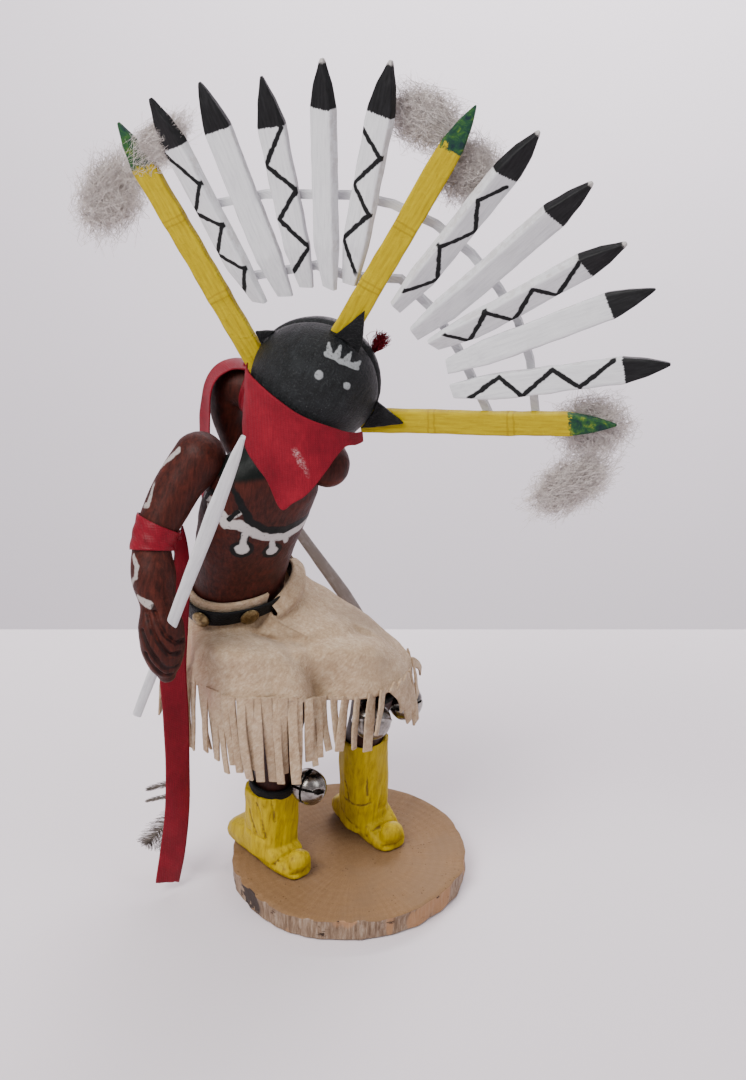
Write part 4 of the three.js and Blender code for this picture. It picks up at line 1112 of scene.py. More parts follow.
def makeFan():
    for i, row in enumerate(fan["white"]):
        axes = slatAxes(row, fan["width"], fan["thickness"])
        number = i + 1
        finish = whiteFinish(f"white_slat_paint_{number}", axes, row[6], row[7], number in (4, 5, 6, 7, 8), i * 3.7)
        slatPiece(f"whiteSlat{number}", axes, fan["width"], fan["thickness"], whiteStations, row[5], finish,
                  f"white_slat_{number}", i + 1.0)
    for i, (name, row) in enumerate(fan["yellow"].items()):
        axes = slatAxes(row, fan["yellowWidth"], fan["yellowThickness"], row[5])
        finish = yellowFinish(f"yellow_slat_paint_{name}", axes, 15.0, fan["bindings"][name])
        slatPiece(f"yellowSlat{name.title()}", axes, fan["yellowWidth"], fan["yellowThickness"], yellowStations, 0,
                  finish,
                  f"yellow_slat_{name}", i + 21.0, ridges=fan["bindings"][name])
    sticks = whiteFinish("white_stick_paint", (inFan(0, 60, 0), inFan(0, 120, 0), fanRight, fanUp, fanNormal),
                         worn=0.0)
    for name in ("outer_stick", "inner_stick"):
        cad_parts[name].material_slots[0].material = sticks.material


swords = {
    "right": ((-30, -52, 204.3), (-73, -22, 84)),
    "left": ((9.5, 60.5, 71), (-34.5, 30, 158)),
    "hint": (0.1, -0.9, 0.4),
    # how much grey brown goes into each sword's paint: for the left sword this is painted shade
    "shadeAndStain": {"right": 0.08, "left": 0.95},
    "width": 5.2,
    "thickness": 3.0,
    "stations": [(0, 0.30), (0.06, 0.66), (0.24, 1), (0.5, 0.82), (0.72, 0.72), (1, 0.62)],
}


def makeSwords():
    for name in ("right", "left"):
        start, end = (Vector(p) for p in swords[name])
        direction = (end - start).normalized()
        side = direction.cross(Vector(swords["hint"])).normalized()
        face = side.cross(direction).normalized()
        length = (end - start).length
        mesh = bmesh.new()

        def place(u, v):
            t, cap = capped(v, 0.01)
            w, = onStations(swords["stations"], t)
            a = 2 * math.pi * u
            x = swords["width"] / 2 * w * bend(math.cos(a), 3.4) * cap
            y = swords["thickness"] / 2 * (0.55 + 0.45 * w) * bend(math.sin(a), 2.6) * cap
            ridge = -0.35 * (1 - abs(x) / 2.6) if y < 0 else 0
            knife = 0.12 * softNoise((x, y, t * length), 0.12, 3.0)
            return start + direction * t * length + side * (x + knife) + face * (y * 0.85 + ridge * cap + knife)

        mapped(mesh, 40, 90, place)
        axes = (start, end, direction, side, face)
        finish = whiteFinish(f"{name}_sword_paint", axes, seed=50.0, shadeAndStain=swords["shadeAndStain"][name])
        finished(mesh, f"{name}Sword", finish, f"{name}_sword", smooth=40, recalculate=True)


boots = {
    "right": {
        "heading": -49,
        "middle": (-29, -1.8),
        "length": 40,
        "marks": [
            [(-32.6, -10.0, 38), (-31.6, -11.4, 33.5), (-30.6, -11.9, 28), (-29.5, -11.7, 23.5)],
            [(-27.0, -12.3, 41), (-26.4, -12.1, 35), (-26.0, -11.7, 30.7)],
            [(-35.6, -6.8, 33), (-34.4, -8.8, 28), (-33.4, -9.6, 24)],
        ],
    },
    "left": {
        "heading": -54,
        "middle": (8.4, 14.6),
        "length": 35,
        "marks": [
            [(-0.6, 9.6, 27), (1.5, 6.9, 26.7), (5.4, 4.8, 26.4), (9.5, 5.6, 27.2)],
            [(-0.2, 8.6, 35), (0.3, 7.8, 31.4), (1.2, 7.3, 26.5)],
            [(-1.4, 12.0, 20.4), (2.3, 6.6, 16.3), (6.5, 3.0, 15.5)],
            [(7.6, 5.6, 45), (7.9, 5.4, 38), (8.2, 5.2, 31)],
        ],
    },
    "floor": 9.3,
    "voxel": 0.5,
}


def makeBoots():
    for name in ("right", "left"):
        spec = boots[name]
        turn = math.radians(spec["heading"])
        ahead = polar(turn, 1)
        aside = vec(-ahead.y, ahead.x, 0)
        middle = vec(*spec["middle"], boots["floor"])
        half = spec["length"] / 2

        def at(x, y, z):
            return middle + ahead * x + aside * y + vec(0, 0, z)

        grooves = [
            [at(half - 8.5, -7.5, 4.2), at(half - 7.5, -5.0, 6.6), at(half - 7.0, 0, 7.6), at(half - 7.5, 5.0, 6.6),
             at(half - 8.5, 7.5, 4.2)],
            [at(-half * 0.2, -8.8, 13.2), at(half * 0.30, -7.5, 12.6), at(half * 0.42, 0, 13.4),
             at(half * 0.30, 7.5, 12.6), at(-half * 0.2, 8.8, 13.2)],
            [at(half - 1.2, -4.6, 2.6), at(half + 0.6, -2.4, 2.4), at(half + 1.4, 0, 2.3), at(half + 0.6, 2.4, 2.4),
             at(half - 1.2, 4.6, 2.6)],
        ]
        bump = [[at(half - 2.4, 0, 9.6), at(half - 0.6, 0, 8.0)]]
        worn = [[Vector(p) for p in path] for path in spec["marks"]]
        mesh = remeshed(copyOf(f"{name}_moccasin"), boots["voxel"], 5)

        def shape(p):
            flat = 0 if p.z < boots["floor"] + 0.4 else 1
            return flat * (0.34 * softNoise(p, 0.16, 8.0) + 0.05 * softNoise(p, 0.6, 3.0) + cut(p, grooves, 0.9, 1.0)
                           + cut(p, worn, 0.6, 0.45) - cut(p, bump, 2.2, 0.9))

        worked(mesh, shape)
        finish = bootFinish(f"{name}_boot_paint", spec["marks"] + [[tuple(q) for q in grooves[0]]])
        finished(mesh, f"{name}Moccasin", finish, f"{name}_moccasin")


kilt = {
    "wall": 1.1,
    "centre": (-24, 12),
    "clear": 0.6,
    "beltMiddle": 0.2,
    "beltSlope": 0.028,
    "step": 0.0083,
    # azimuth, then radius and height over the lap, at the top of the fringe and at its end
    "stations": [
        (-158, 34, 101, 37, 88, 37, 60), (-135, 34, 104, 36, 89, 35, 60), (-112, 33, 107, 38, 91, 36, 58),
        (-90, 32, 107, 38, 92, 37, 58), (-75, 31, 105, 36, 90, 35, 60), (-60, 26, 101.5, 31.5, 85.5, 33.5, 64),
        (-42, 33, 103, 42, 87, 42, 66), (-22, 38, 102.5, 48.5, 87, 50, 67), (0, 36, 98.5, 48.5, 83, 50, 64),
        (30, 32, 99.5, 45, 82, 46, 62), (60, 31, 101, 42, 80, 43, 61), (90, 31, 102, 40, 80, 42, 60),
        (120, 32, 101, 42, 80, 43, 60), (152, 33, 101, 44, 82, 45, 60), (180, 34, 100, 42, 84, 43, 61),
    ],
    "partedAt": -33,
    "parting": 9,
    # on the left hip the suede stands outside the belt, between two slits
    "flap": (-48, 48),
    "flapTop": ((7.4, 2.3), (2.6, 7.2), (-6.5, 7.2)),
    "slitRows": 13,
    "columns": 300,
    "rows": 60,
    "strips": 78,
    "stripWall": 0.9,
    # strips between these azimuths hang apart, to the side given
    "gaps": ((-13, -2, -7), (-2, 12, 9)),
    # strips between these azimuths are cut short
    "shorts": ((-37, -29, 0.55), (-6, 4, 0.5)),
    "flat": (0.190, 0.050),
}


def onTorso(t, angle, grow):
    middle, _, front, side, wide, deep = torsoAt(t)
    p = body["power"]
    return middle + side * (wide + grow) * bend(math.cos(angle), p) + front * (deep + grow) * bend(math.sin(angle), p)


def beltAt(angle, height, grow):
    return onTorso(kilt["beltMiddle"] + kilt["beltSlope"] * math.cos(angle) + height * kilt["step"], angle, grow)


def kiltSize(azimuth):
    table = kilt["stations"]
    count = len(table)
    while azimuth < -158:
        azimuth += 360
    while azimuth >= 202:
        azimuth -= 360

    def row(i):
        return [table[i % count][0] + 360 * (i // count), *table[i % count][1:]]

    i = 0
    while row(i + 1)[0] <= azimuth:
        i += 1
    before, start, end, after = row(i - 1), row(i), row(i + 1), row(i + 2)
    t = (azimuth - start[0]) / (end[0] - start[0])
    sizes = []
    for c in range(1, 7):
        rise, fall = (end[c] - before[c]) / 2, (after[c] - start[c]) / 2
        sizes.append((2 * t**3 - 3 * t**2 + 1) * start[c] + (t**3 - 2 * t**2 + t) * rise
                     + (3 * t**2 - 2 * t**3) * end[c] + (t**3 - t**2) * fall)
    return sizes


def kiltFold(azimuth, height):
    a = math.radians(azimuth)
    return 0.8 * math.sin(9 * a + 0.6) * min(1, max(0, (105 - height) / 20))


def kiltPoint(azimuth, radius, height, aside=0.0):
    return vec(*kilt["centre"], 0) + polar(math.radians(azimuth + aside), radius + kiltFold(azimuth, height), height)


def kiltDrape(azimuth):
    lapR, lapZ, hemR, hemZ, endR, endZ = kiltSize(azimuth)
    angle = math.radians(azimuth - body["facing"])
    grow = kilt["clear"] + kilt["wall"]
    start, end = kilt["flap"]
    onFlap = start - 0.1 < azimuth < end - 0.1
    if onFlap:
        crest = max(math.cos(math.radians(min(abs(azimuth + 6) * 1.9, 90))), 0) ** 0.6
        heights = [high for high, out in kilt["flapTop"]]
        for i in (0, 1):
            heights[i] = min(heights[i], 7.1 * crest - 0.4 - 2.8 * i)
        edge = curve([beltAt(angle, high, out) for high, (_, out) in zip(heights, kilt["flapTop"])])
    else:
        beside = max(0, 1 - max(start - azimuth, azimuth - end) / 14)
        edge = curve([beltAt(angle, 6.5, grow), beltAt(angle, 0, grow), beltAt(angle, -6.5, grow + 5.0 * beside**2)])
    lower = [kiltPoint(azimuth, radius, high) for radius, high in ((lapR, lapZ), (hemR, hemZ), (endR, endZ))]
    fall = curve([edge(0), edge(1), *lower])

    def at(v):
        if v < 0.24:
            return edge(v / 0.24)
        return fall(0.25 + 0.5 * (v - 0.24) / 0.76)

    return at


# creases and swells of the suede: a path of azimuth and share of the drop, width, depth
creases = [
    ([(-79, 0.40), (-72, 0.48), (-53, 0.50), (-37, 0.51), (-14, 0.56)], 2.6, 3.4),
    ([(-73, 0.47), (-77, 0.62), (-70, 0.75), (-58, 0.90)], 4.6, 4.6),
    ([(-53, 0.20), (-66, 0.30), (-78, 0.40)], 1.8, 2.2),
    ([(-121, 0.62), (-104, 0.64)], 7.0, -2.4),
    ([(-50, 0.65), (-33, 0.68)], 6.0, -3.4),
    ([(-92, 0.86), (-90, 1.0)], 1.6, 0.7),
    ([(60, 0.45), (48, 0.7), (52, 0.95)], 3.5, 1.8),
    ([(140, 0.4), (150, 0.7), (146, 1.0)], 4.5, 2.0),
    ([(-165, 0.45), (-155, 0.8)], 3.5, 1.6),
]


def kiltSpot(azimuth, down):
    return vec(0.75 * azimuth, 45 * down, 0)


def makeKilt():
    suede = suedeFinish()
    mesh = bmesh.new()
    folds = [([kiltSpot(*spot) for spot in path], width, depth) for path, width, depth in creases]
    drapes = [kiltDrape(-180 + 360 * k / kilt["columns"]) for k in range(kilt["columns"])]

    def place(u, v):
        k = int(round(u * kilt["columns"])) % kilt["columns"]
        down = 1 - v
        point = drapes[k](down)
        azimuth = -180 + 360 * k / kilt["columns"]
        out = polar(math.radians(azimuth), 1, 0.5).normalized()
        loose = min(1, max(0, (down - 0.22) / 0.2))
        push = 1.1 * softNoise(point, 0.07, 3.0) + 0.34 * softNoise(point, 0.22, 6.0) + 0.06 * softNoise(point, 0.8,
                2.0)
        push *= loose
        push += (1 - loose) * 0.15 * softNoise(point, 0.4, 9.0)
        for path, width, depth in folds:
            push += cut(kiltSpot(azimuth, down), [path], width, depth)
        return point + out * push

    slits = [round((edge + 180) / 360 * kilt["columns"]) for edge in kilt["flap"]]

    def slit(u, v):
        column = u * kilt["columns"] + 0.5
        return v > 1 - kilt["slitRows"] / kilt["rows"] and any(abs(column - k) < 0.3 for k in slits)

    mapped(mesh, kilt["columns"], kilt["rows"], place, missing=slit)
    return finished(mesh, "suedeKilt", suede, "suede_kilt", wall=kilt["wall"], offset=-1,
                    recalculate=True), suede


def makeFringe(suede):
    random.seed(41)
    mesh = bmesh.new()
    count = kilt["strips"]
    pitch = 360 / count
    for k in range(count):
        azimuth = -180 + (k + 0.5 + random.uniform(-0.15, 0.15)) * pitch
        hemR, hemZ, endR, endZ = kiltSize(azimuth)[2:]
        away = azimuth - kilt["partedAt"]
        aside = kilt["parting"] * math.copysign(math.exp(-((away / 22) ** 2)), away)
        opened = sum(turn for low, high, turn in kilt["gaps"] if low < azimuth < high)
        short = min([1.0] + [share for low, high, share in kilt["shorts"] if low < azimuth < high])
        depth = (hemZ - endZ) * short * random.uniform(0.86, 1.06)
        width = random.uniform(0.86, 1.3) * pitch * math.pi / 180 * hemR
        lift = 0.9 * (k % 2) + random.uniform(-0.2, 0.7)
        curl = random.uniform(-1, 1)
        lean = random.uniform(-3.0, 3.0)
        twist = math.radians(random.uniform(-22, 22))
        path = []
        for i in range(6):
            t = i / 5
            height = hemZ + 1.5 - (depth + 1.5) * t
            radius = hemR + (endR - hemR) * t + lift * min(1, 3 * t)
            radius += curl * 1.6 * t * t + 0.5 * math.sin(3 * t + 7 * curl)
            path.append(kiltPoint(azimuth, radius, height, (aside + opened) * t**0.8 + lean * t * t))
        line = curve(path)
        out = polar(math.radians(azimuth), 1)
        wall = kilt["stripWall"]

        def place(u, v):
            t = min(max((12 - 13 * v) / 11, 0), 1)
            point = line(t)
            down = heading(line, t)
            side = down.cross(out).normalized()
            turn = Matrix.Rotation(twist * t, 3, down)
            side = turn @ side
            face = side.cross(down).normalized()
            wide = width / 2 * (1 - 0.08 * t + 0.07 * math.sin(7 * t + k))
            a = 2 * math.pi * (u + 0.125)
            x, y = wide * bend(math.cos(a), 6), wall / 2 * bend(math.sin(a), 6)
            if v < 0.001 or v > 0.999:
                x, y = 0, 0
            cup = 0.25 * curl * (x / max(wide, 0.1)) ** 2
            return point + side * x + face * (y + cup)

        mapped(mesh, 12, 13, place)
    return finished(mesh, "kiltFringe", suede, recalculate=True, smooth=60)


belt = {
    "height": 8.0,
    "wall": 1.2,
    "clear": 2.4,
    "discs": 7,
    "firstDisc": -92,
    "discRadius": 3.4,
}


def makeBelt():
    leather = leatherFinish("belt_leather", 0.30)
    mesh = bmesh.new()

    def place(u, v):
        angle = 2 * math.pi * u
        a = 2 * math.pi * v
        height = belt["height"] / 2 * bend(math.cos(a), 5)
        out = belt["wall"] / 2 * bend(math.sin(a), 3)
        sway = 0.18 * softNoise(polar(angle, 9), 0.3)
        return beltAt(angle, height + sway, belt["clear"] + belt["wall"] / 2 + out)

    mapped(mesh, 130, 28, place)
    bmesh.ops.remove_doubles(mesh, verts=mesh.verts, dist=1e-3)
    finished(mesh, "leatherBelt", leather, "belt", recalculate=True)

    brass = brassFinish()
    for k in range(belt["discs"]):
        angle = math.radians(belt["firstDisc"] + 360 / belt["discs"] * k)
        surface = belt["clear"] + belt["wall"]
        middle = beltAt(angle, 0, surface)
        sideways = (beltAt(angle + 0.1, 0, surface) - beltAt(angle - 0.1, 0, surface)).normalized()
        upward = (beltAt(angle, 2, surface) - beltAt(angle, -2, surface)).normalized()
        out = sideways.cross(upward).normalized()
        if out.dot(middle - torsoAt(kilt["beltMiddle"])[0]) < 0:
            out.negate()
        r = belt["discRadius"]
        profile = [(0, 0.35), (0.9 * r, 0.35), (r, 0.5), (1.02 * r, 0.75), (0.97 * r, 0.98), (0.86 * r, 1.16),
                   (0.7 * r, 1.38), (0.52 * r, 1.58), (0.34 * r, 1.72), (0.16 * r, 1.82), (0, 1.85)]
        mesh = bmesh.new()

        def place(u, v):
            radius, lift = onProfile(profile, v)
            a = 2 * math.pi * u
            return middle + out * lift + sideways * radius * math.cos(a) + upward * radius * math.sin(a)

        mapped(mesh, 60, 20, place)
        finished(mesh, f"beltDisc{k + 1}", brass, f"concho_{k + 1}", recalculate=True)


bandana = {
    # turn about the head, height of the top edge, drop of the cloth
    "stations": [
        (-84, -4, 15), (-72, -3.5, 21), (-60, -2.5, 26), (-45, -1.2, 29), (-30, -0.6, 31), (-15, -0.5, 36.5),
        (-3, -0.8, 30.5), (10, -1, 24.5), (25, -1.1, 15.5), (35, -1.5, 9.5), (46, -2.3, 5), (58, -3.1, 4),
        (71, -4, 3.2),
    ],
    "radius": 22.3,
    "wall": 0.5,
    "flat": (0.062, 0.034),
    "area": 0.00150,
}


def makeBandana():
    line = curve(bandana["stations"])
    centre = Vector(head["centre"])
    r = bandana["radius"]
    mesh = bmesh.new()

    def place(u, v):
        turn, high, drop = line(u)
        down = 1 - v
        flare = r * (1 + 0.09 * down * min(1, drop / 20))
        flat = math.sqrt(max(r * r - high * high, 0)) * flare / r
        a = math.radians(turn)
        point = onHead(flat * math.sin(a), high, flat * math.cos(a))
        point.z -= drop * down
        away = point - centre
        if away.length < r:
            point = centre + away.normalized() * r
        out = (point - centre).normalized()
        loose = min(1, drop * down / 14)
        fold = 0.55 * math.sin(turn * 0.10 + 1.2 + 0.6 * down) * loose
        fold += 0.30 * softNoise(point, 0.11, 4.0) * loose + 0.10 * softNoise(point, 0.4, 2.0)
        pinch = math.exp(-((down / 0.06) ** 2)) * 0.15
        return point + out * (fold + pinch + 0.25)

    mapped(mesh, 110, 60, place, closed=False)
    cloth = clothFinish("red_bandana_cloth", (0.1, 0.2, 1), (1, 0.2, 0), 0.62, lint=True)
    piece = finished(mesh, "redBandana", cloth, "red_bandana", wall=bandana["wall"], offset=0,
                     recalculate=True)


def makeEars():
    leather = leatherFinish("ear_leather", 0.34)
    for name in ("left", "middle", "right"):
        mesh = remeshed(copyOf(f"leather_ear_{name}"), 0.22, 2)
        worked(mesh, lambda p: 0.16 * softNoise(p, 0.35, 3.0) + 0.05 * softNoise(p, 1.2, 1.0))
        finished(mesh, f"leatherEar{name.title()}", leather, f"leather_ear_{name}")


def hairPattern(steps):
    mesh = bmesh.new()
    ring = bmesh.ops.create_circle(mesh, cap_ends=False, segments=3, radius=1)["verts"]
    edges = list({e for v in ring for e in v.link_edges})
    bmesh.ops.contextual_create(mesh, geom=edges)
    for i in range(steps):
        made = bmesh.ops.extrude_edge_only(mesh, edges=edges)["geom"]
        edges = [g for g in made if isinstance(g, bmesh.types.BMEdge)]
        for vert in {v for e in edges for v in e.verts}:
            vert.co.z = i + 1
        edges = [e for e in edges if all(abs(v.co.z - i - 1) < 1e-6 for v in e.verts)]
    bmesh.ops.contextual_create(mesh, geom=edges)
    bmesh.ops.recalc_face_normals(mesh, faces=mesh.faces)
    data = bpy.data.meshes.new("hair")
    mesh.to_mesh(data)
    mesh.free()
    return data


# fine hairs, each a thin three-sided tube along its own path
def strands(mesh, count, start, run, thin, curl, steps=6, taper=0.5):
    pattern = hairPattern(steps)
    shape = [v.co.copy() for v in pattern.vertices]
    first = len(mesh.verts)
    for _ in range(count):
        mesh.from_mesh(pattern)
    mesh.verts.ensure_lookup_table()
    for k in range(count):
        base = start(k)
        line = curve(run(k, base))
        size = thin * random.uniform(0.7, 1.2)
        phase = random.uniform(0, 6.28)
        wave = curl * random.uniform(0.4, 1.3)
        turns = random.uniform(1.2, 3.0)
        places = []
        for i in range(steps + 1):
            t = i / steps
            direction = heading(line, t)
            side = direction.orthogonal().normalized()
            other = direction.cross(side)
            a = phase + turns * 6.28 * t
            centre = line(t) + (side * math.cos(a) + other * math.sin(a)) * wave * t
            places.append((centre, side, other, size * (1 - (1 - taper) * t)))
        for j, corner in enumerate(shape):
            centre, side, other, wide = places[round(corner.z)]
            mesh.verts[first + k * len(shape) + j].co = centre + (side * corner.x + other * corner.y) * wide
    bpy.data.meshes.remove(pattern)


tuft = {
    # right, up, out on the head
    "core": (12.2, 15.5, -8.6),
    "tip": (12.7, 21.5, -8.6),
    "strands": 220,
    "thin": 0.14,
    "curl": 0.3,
}


def makeTuft():
    random.seed(7)
    wool = clothFinish("red_tuft_wool", shine=0.7)
    core = onHead(*tuft["core"])
    right, up, out = tuft["tip"]
    mesh = bmesh.new()

    def start(k):
        return core + fanRight * random.uniform(-0.7, 0.7) + fanNormal * random.uniform(-0.7, 0.7)

    def run(k, base):
        tip = onHead(right + random.gauss(0, 1.3), up + random.uniform(-1.5, 1.8), out + random.gauss(0, 1.2))
        aside = fanRight * random.gauss(0, 0.8) + fanNormal * random.gauss(0, 0.8)
        return [base, base.lerp(tip, 0.5) + aside, tip]

    strands(mesh, tuft["strands"], start, run, tuft["thin"], tuft["curl"], steps=4)
    finished(mesh, "redTuft", wool, "red_tuft", recalculate=True)


fluffs = {
    # right, up, out, wide, tall, deep, lean, strands
    "left": [(-77, 47, -2, 9, 17, 3.5, -22, 800), (-86, 21, -8, 14, 22, 5.5, -6, 1050)],
    "middle": [(-7, 93, -8, 17, 12.5, 5.5, 10, 950), (12, 85, -8, 14, 15, 5.5, -20, 900)],
    "right": [(86, 29, -8, 14, 17, 5.5, -40, 900), (90, 7, -8, 11.5, 23, 5.5, -24, 1050)],
    "thin": 0.075,
    "curl": 0.45,
    # the longest step of a strand, and how many strands stray and how far
    "reach": 17.0,
    "stray": (0.15, 1.22),
}


def makeFluffs():
    wool = hairFinish("grey_wool", (0.46, 0.40, 0.37), (0.76, 0.69, 0.65), (0.98, 0.92, 0.88))
    for number, name in enumerate(("left", "middle", "right")):
        random.seed(100 + number)
        mesh = bmesh.new()
        for right, up, out, wide, tall, deep, lean, count in fluffs[name]:
            turn = Matrix.Rotation(math.radians(lean), 3, fanNormal)
            across, rise = turn @ fanRight, turn @ fanUp
            middle = onHead(right, up, out)

            def inside(scale):
                if random.random() < fluffs["stray"][0]:
                    scale *= fluffs["stray"][1]
                d = vec(random.gauss(0, 1), random.gauss(0, 1), random.gauss(0, 1)).normalized()
                d *= random.uniform(0.1, 1) ** 0.5 * scale
                return middle + across * d.x * wide + rise * d.y * tall + fanNormal * d.z * deep

            def start(k):
                return inside(0.75)

            def run(k, base):
                middlePoint = inside(0.95)
                tip = inside(1.04)
                reach = fluffs["reach"]
                for point in (middlePoint, tip):
                    away = point - base
                    if away.length > reach:
                        point -= away * (1 - reach / away.length)
                return [base, middlePoint, tip]

            strands(mesh, count, start, run, fluffs["thin"], fluffs["curl"], steps=5)
        finished(mesh, f"woolFluff{name.title()}", wool, f"fluff_{name}", recalculate=True)


ribbons = {
    "width": 10.0,
    "wall": 0.45,
    "right": {
        "arm": "rightArm",
        "hint": armHint,
        "slice": (1, 5),
        "from": 0.45,
        "to": 0.745,
        "knot": (-56.6, -14.4, 151.0, 2.0),
        "tail": [
            (-56, -13.8, 151, 80), (-55.8, -11.6, 142, 66), (-57.2, -10.6, 128, 45), (-59.4, -11, 112, 30),
            (-60.6, -12, 96, 25),
            (-60.4, -12.5, 78, 30), (-60.8, -12.5, 56, 38), (-62, -12.5, 36, 30), (-64.4, -12.5, 18, 24),
            (-67, -13, 4.2, 32),
        ],
        "rows": 170,
        "length": 0.150,
    },
    "left": {
        "arm": "leftArm",
        "hint": backHint,
        "slice": (1, 5),
        "from": 0.44,
        "to": 0.75,
        "knot": (-33.5, 25, 196.2, 1.8),
        "tail": [
            (-32.5, 26, 196.8, -86), (-37.5, 26, 197.7, -84), (-43.4, 24.5, 196, -78), (-47.2, 22.5, 190, -72),
            (-48.6, 21.5, 180, -68), (-49, 21, 170, -64), (-49, 21, 160, -60), (-48.6, 22, 149, -55),
            (-48.2, 23, 139, -50),
        ],
        "rows": 110,
        "length": 0.077,
    },
}


def makeRibbon(name):
    spec = ribbons[name]
    cloth = clothFinish(f"{name}_ribbon_satin", (0.0, 0.0, 1.0), (0.9, 0.4, 0.0), 0.42)
    line = curve([s[:3] for s in spec["tail"]])
    turns = curve([(s[3], 0, 0) for s in spec["tail"]])
    mesh = bmesh.new()

    def place(u, v):
        t = 1 - v
        turn = math.radians(turns(t).x)
        tangent = heading(line, t)
        across = vec(math.cos(turn), math.sin(turn), 0)
        face = tangent.cross(across).normalized()
        side = face.cross(tangent).normalized()
        x = (u - 0.5) * ribbons["width"]
        ripple = 0.35 * softNoise((x * 0.6, t * 60, 0), 0.16, 3.0) + 0.5 * math.sin(t * 19 + x * 0.3) * 0.25
        cup = 0.30 * math.cos(math.pi * (u - 0.5)) * math.sin(t * 9 + 0.6)
        frayed = 0.35 * softNoise((x * 3, 0, 0), 0.8, 2.0) if t > 0.99 else 0
        return line(t) + side * x + face * (ripple + cup) + tangent * (frayed + 0.14 * x * (t > 0.99))

    mapped(mesh, 14, spec["rows"], place, closed=False)
    tail = finished(mesh, f"{name}RibbonTail", cloth, f"{name}_ribbon", wall=ribbons["wall"], offset=0,
                    recalculate=True)

    low, high = spec["slice"]
    arm = along(body[spec["arm"]][low:high], spec["hint"])
    mesh = bmesh.new()

    def wrap(u, v):
        t = spec["from"] + (spec["to"] - spec["from"]) * v
        middle, _, front, side, wide, deep = arm(t)
        a = 2 * math.pi * u
        lift = 0.75 + 0.16 * math.sin(v * 15 + 2 * a) + 0.25 * softNoise(polar(a, 8, v * 9), 0.25, 5.0)
        return middle + side * (wide + lift) * math.cos(a) + front * (deep + lift) * math.sin(a)

    mapped(mesh, 72, 18, wrap)
    band = finished(mesh, f"{name}RibbonBand", cloth, wall=ribbons["wall"], offset=0, recalculate=True)

    x, y, z, r = spec["knot"]
    mesh = bmesh.new()
    bmesh.ops.create_uvsphere(mesh, u_segments=28, v_segments=18, radius=1)
    for vert in mesh.verts:
        lump = 1 + 0.22 * math.sin(3 * vert.co.z + 2 * vert.co.x) + 0.2 * softNoise(vert.co, 1.6, 2.0)
        vert.co = vec(x, y, z) + vec(vert.co.x * r * 0.85, vert.co.y * r * 0.8, vert.co.z * r * 1.25) * lump
    knot = finished(mesh, f"{name}RibbonKnot", cloth, recalculate=True)


feathers = {
    "low": {
        "vanes": [  # foot, tip, width, bend
            ((-60.2, -9.4, 37), (-74, -6.6, 15.5), 11, 2),
            ((-60.2, -9.4, 35), (-67.5, -6.5, 13.0), 8, 1),
            ((-60.2, -9.6, 47), (-73, -9, 45), 2.6, -1.5),
            ((-60.2, -9.6, 41.5), (-73.5, -9, 39.5), 2, -1.2),
        ],
        "quill": ((-60.6, -9.6, 33), (-60.6, -9.6, 49)),
        "node": "ribbon_feathers",
    },
    "high": {
        "vanes": [((-58.4, -8.4, 100), (-63.4, -7.4, 77.5), 5.5, 1)],
        "quill": ((-58.3, -8.4, 97), (-58.3, -8.4, 102)),
        "node": "arm_feather",
    },
    "hint": (0.1, -0.9, 0.4),
}


def makeFeathers(name):
    random.seed(len(name) * 13)
    spec = feathers[name]
    mesh = bmesh.new()
    for foot, tip, width, swing in spec["vanes"]:
        foot, tip = Vector(foot), Vector(tip)
        axis = tip - foot
        side = axis.cross(Vector(feathers["hint"])).normalized()
        face = side.cross(axis).normalized()
        line = curve([foot + axis * t + side * swing * t * t for t in (0, 0.3, 0.6, 0.85, 1.0)])
        shaft = [line(t) for t in (0, 0.35, 0.7, 0.97)]
        strands(mesh, 1, lambda k: foot.copy(), lambda k, base: shaft, 0.32, 0.0, steps=8, taper=0.3)
        barbs = int(axis.length * 7)

        def start(k):
            return line(0.05 + 0.93 * (k // 2) / (barbs / 2)) + face * random.uniform(-0.15, 0.15)

        def run(k, base):
            t = 0.05 + 0.93 * (k // 2) / (barbs / 2)
            hand = 1 if k % 2 else -1
            spread = math.sin(math.pi * min(1, 0.12 + t * 0.9)) ** 0.6
            reach = width / 2 * spread * random.uniform(0.65, 1.08)
            ahead = axis.normalized() * (reach * 0.75 + 1.0)
            droop = face * random.gauss(0, 0.35)
            end = base + side * hand * reach + ahead + droop
            return [base, base.lerp(end, 0.5) + side * hand * reach * 0.14, end]

        strands(mesh, barbs, start, run, 0.16, 0.12, steps=4, taper=0.3)
    low, high = (Vector(p) for p in spec["quill"])
    quill = [low, low.lerp(high, 0.5), high]
    strands(mesh, 1, lambda k: low.copy(), lambda k, base: quill, 0.75, 0.0, steps=4, taper=0.8)
    finish = hairFinish(f"{name}_feather_vane", (0.055, 0.045, 0.038), (0.15, 0.125, 0.105), (0.36, 0.32, 0.29), 0.25)
    finished(mesh, f"{name}Feathers", finish, spec["node"], recalculate=True)


garters = {
    "right": ("rightLeg", 41.3, 46.0),
    "left": ("leftLeg", 81.0, 84.5),
}


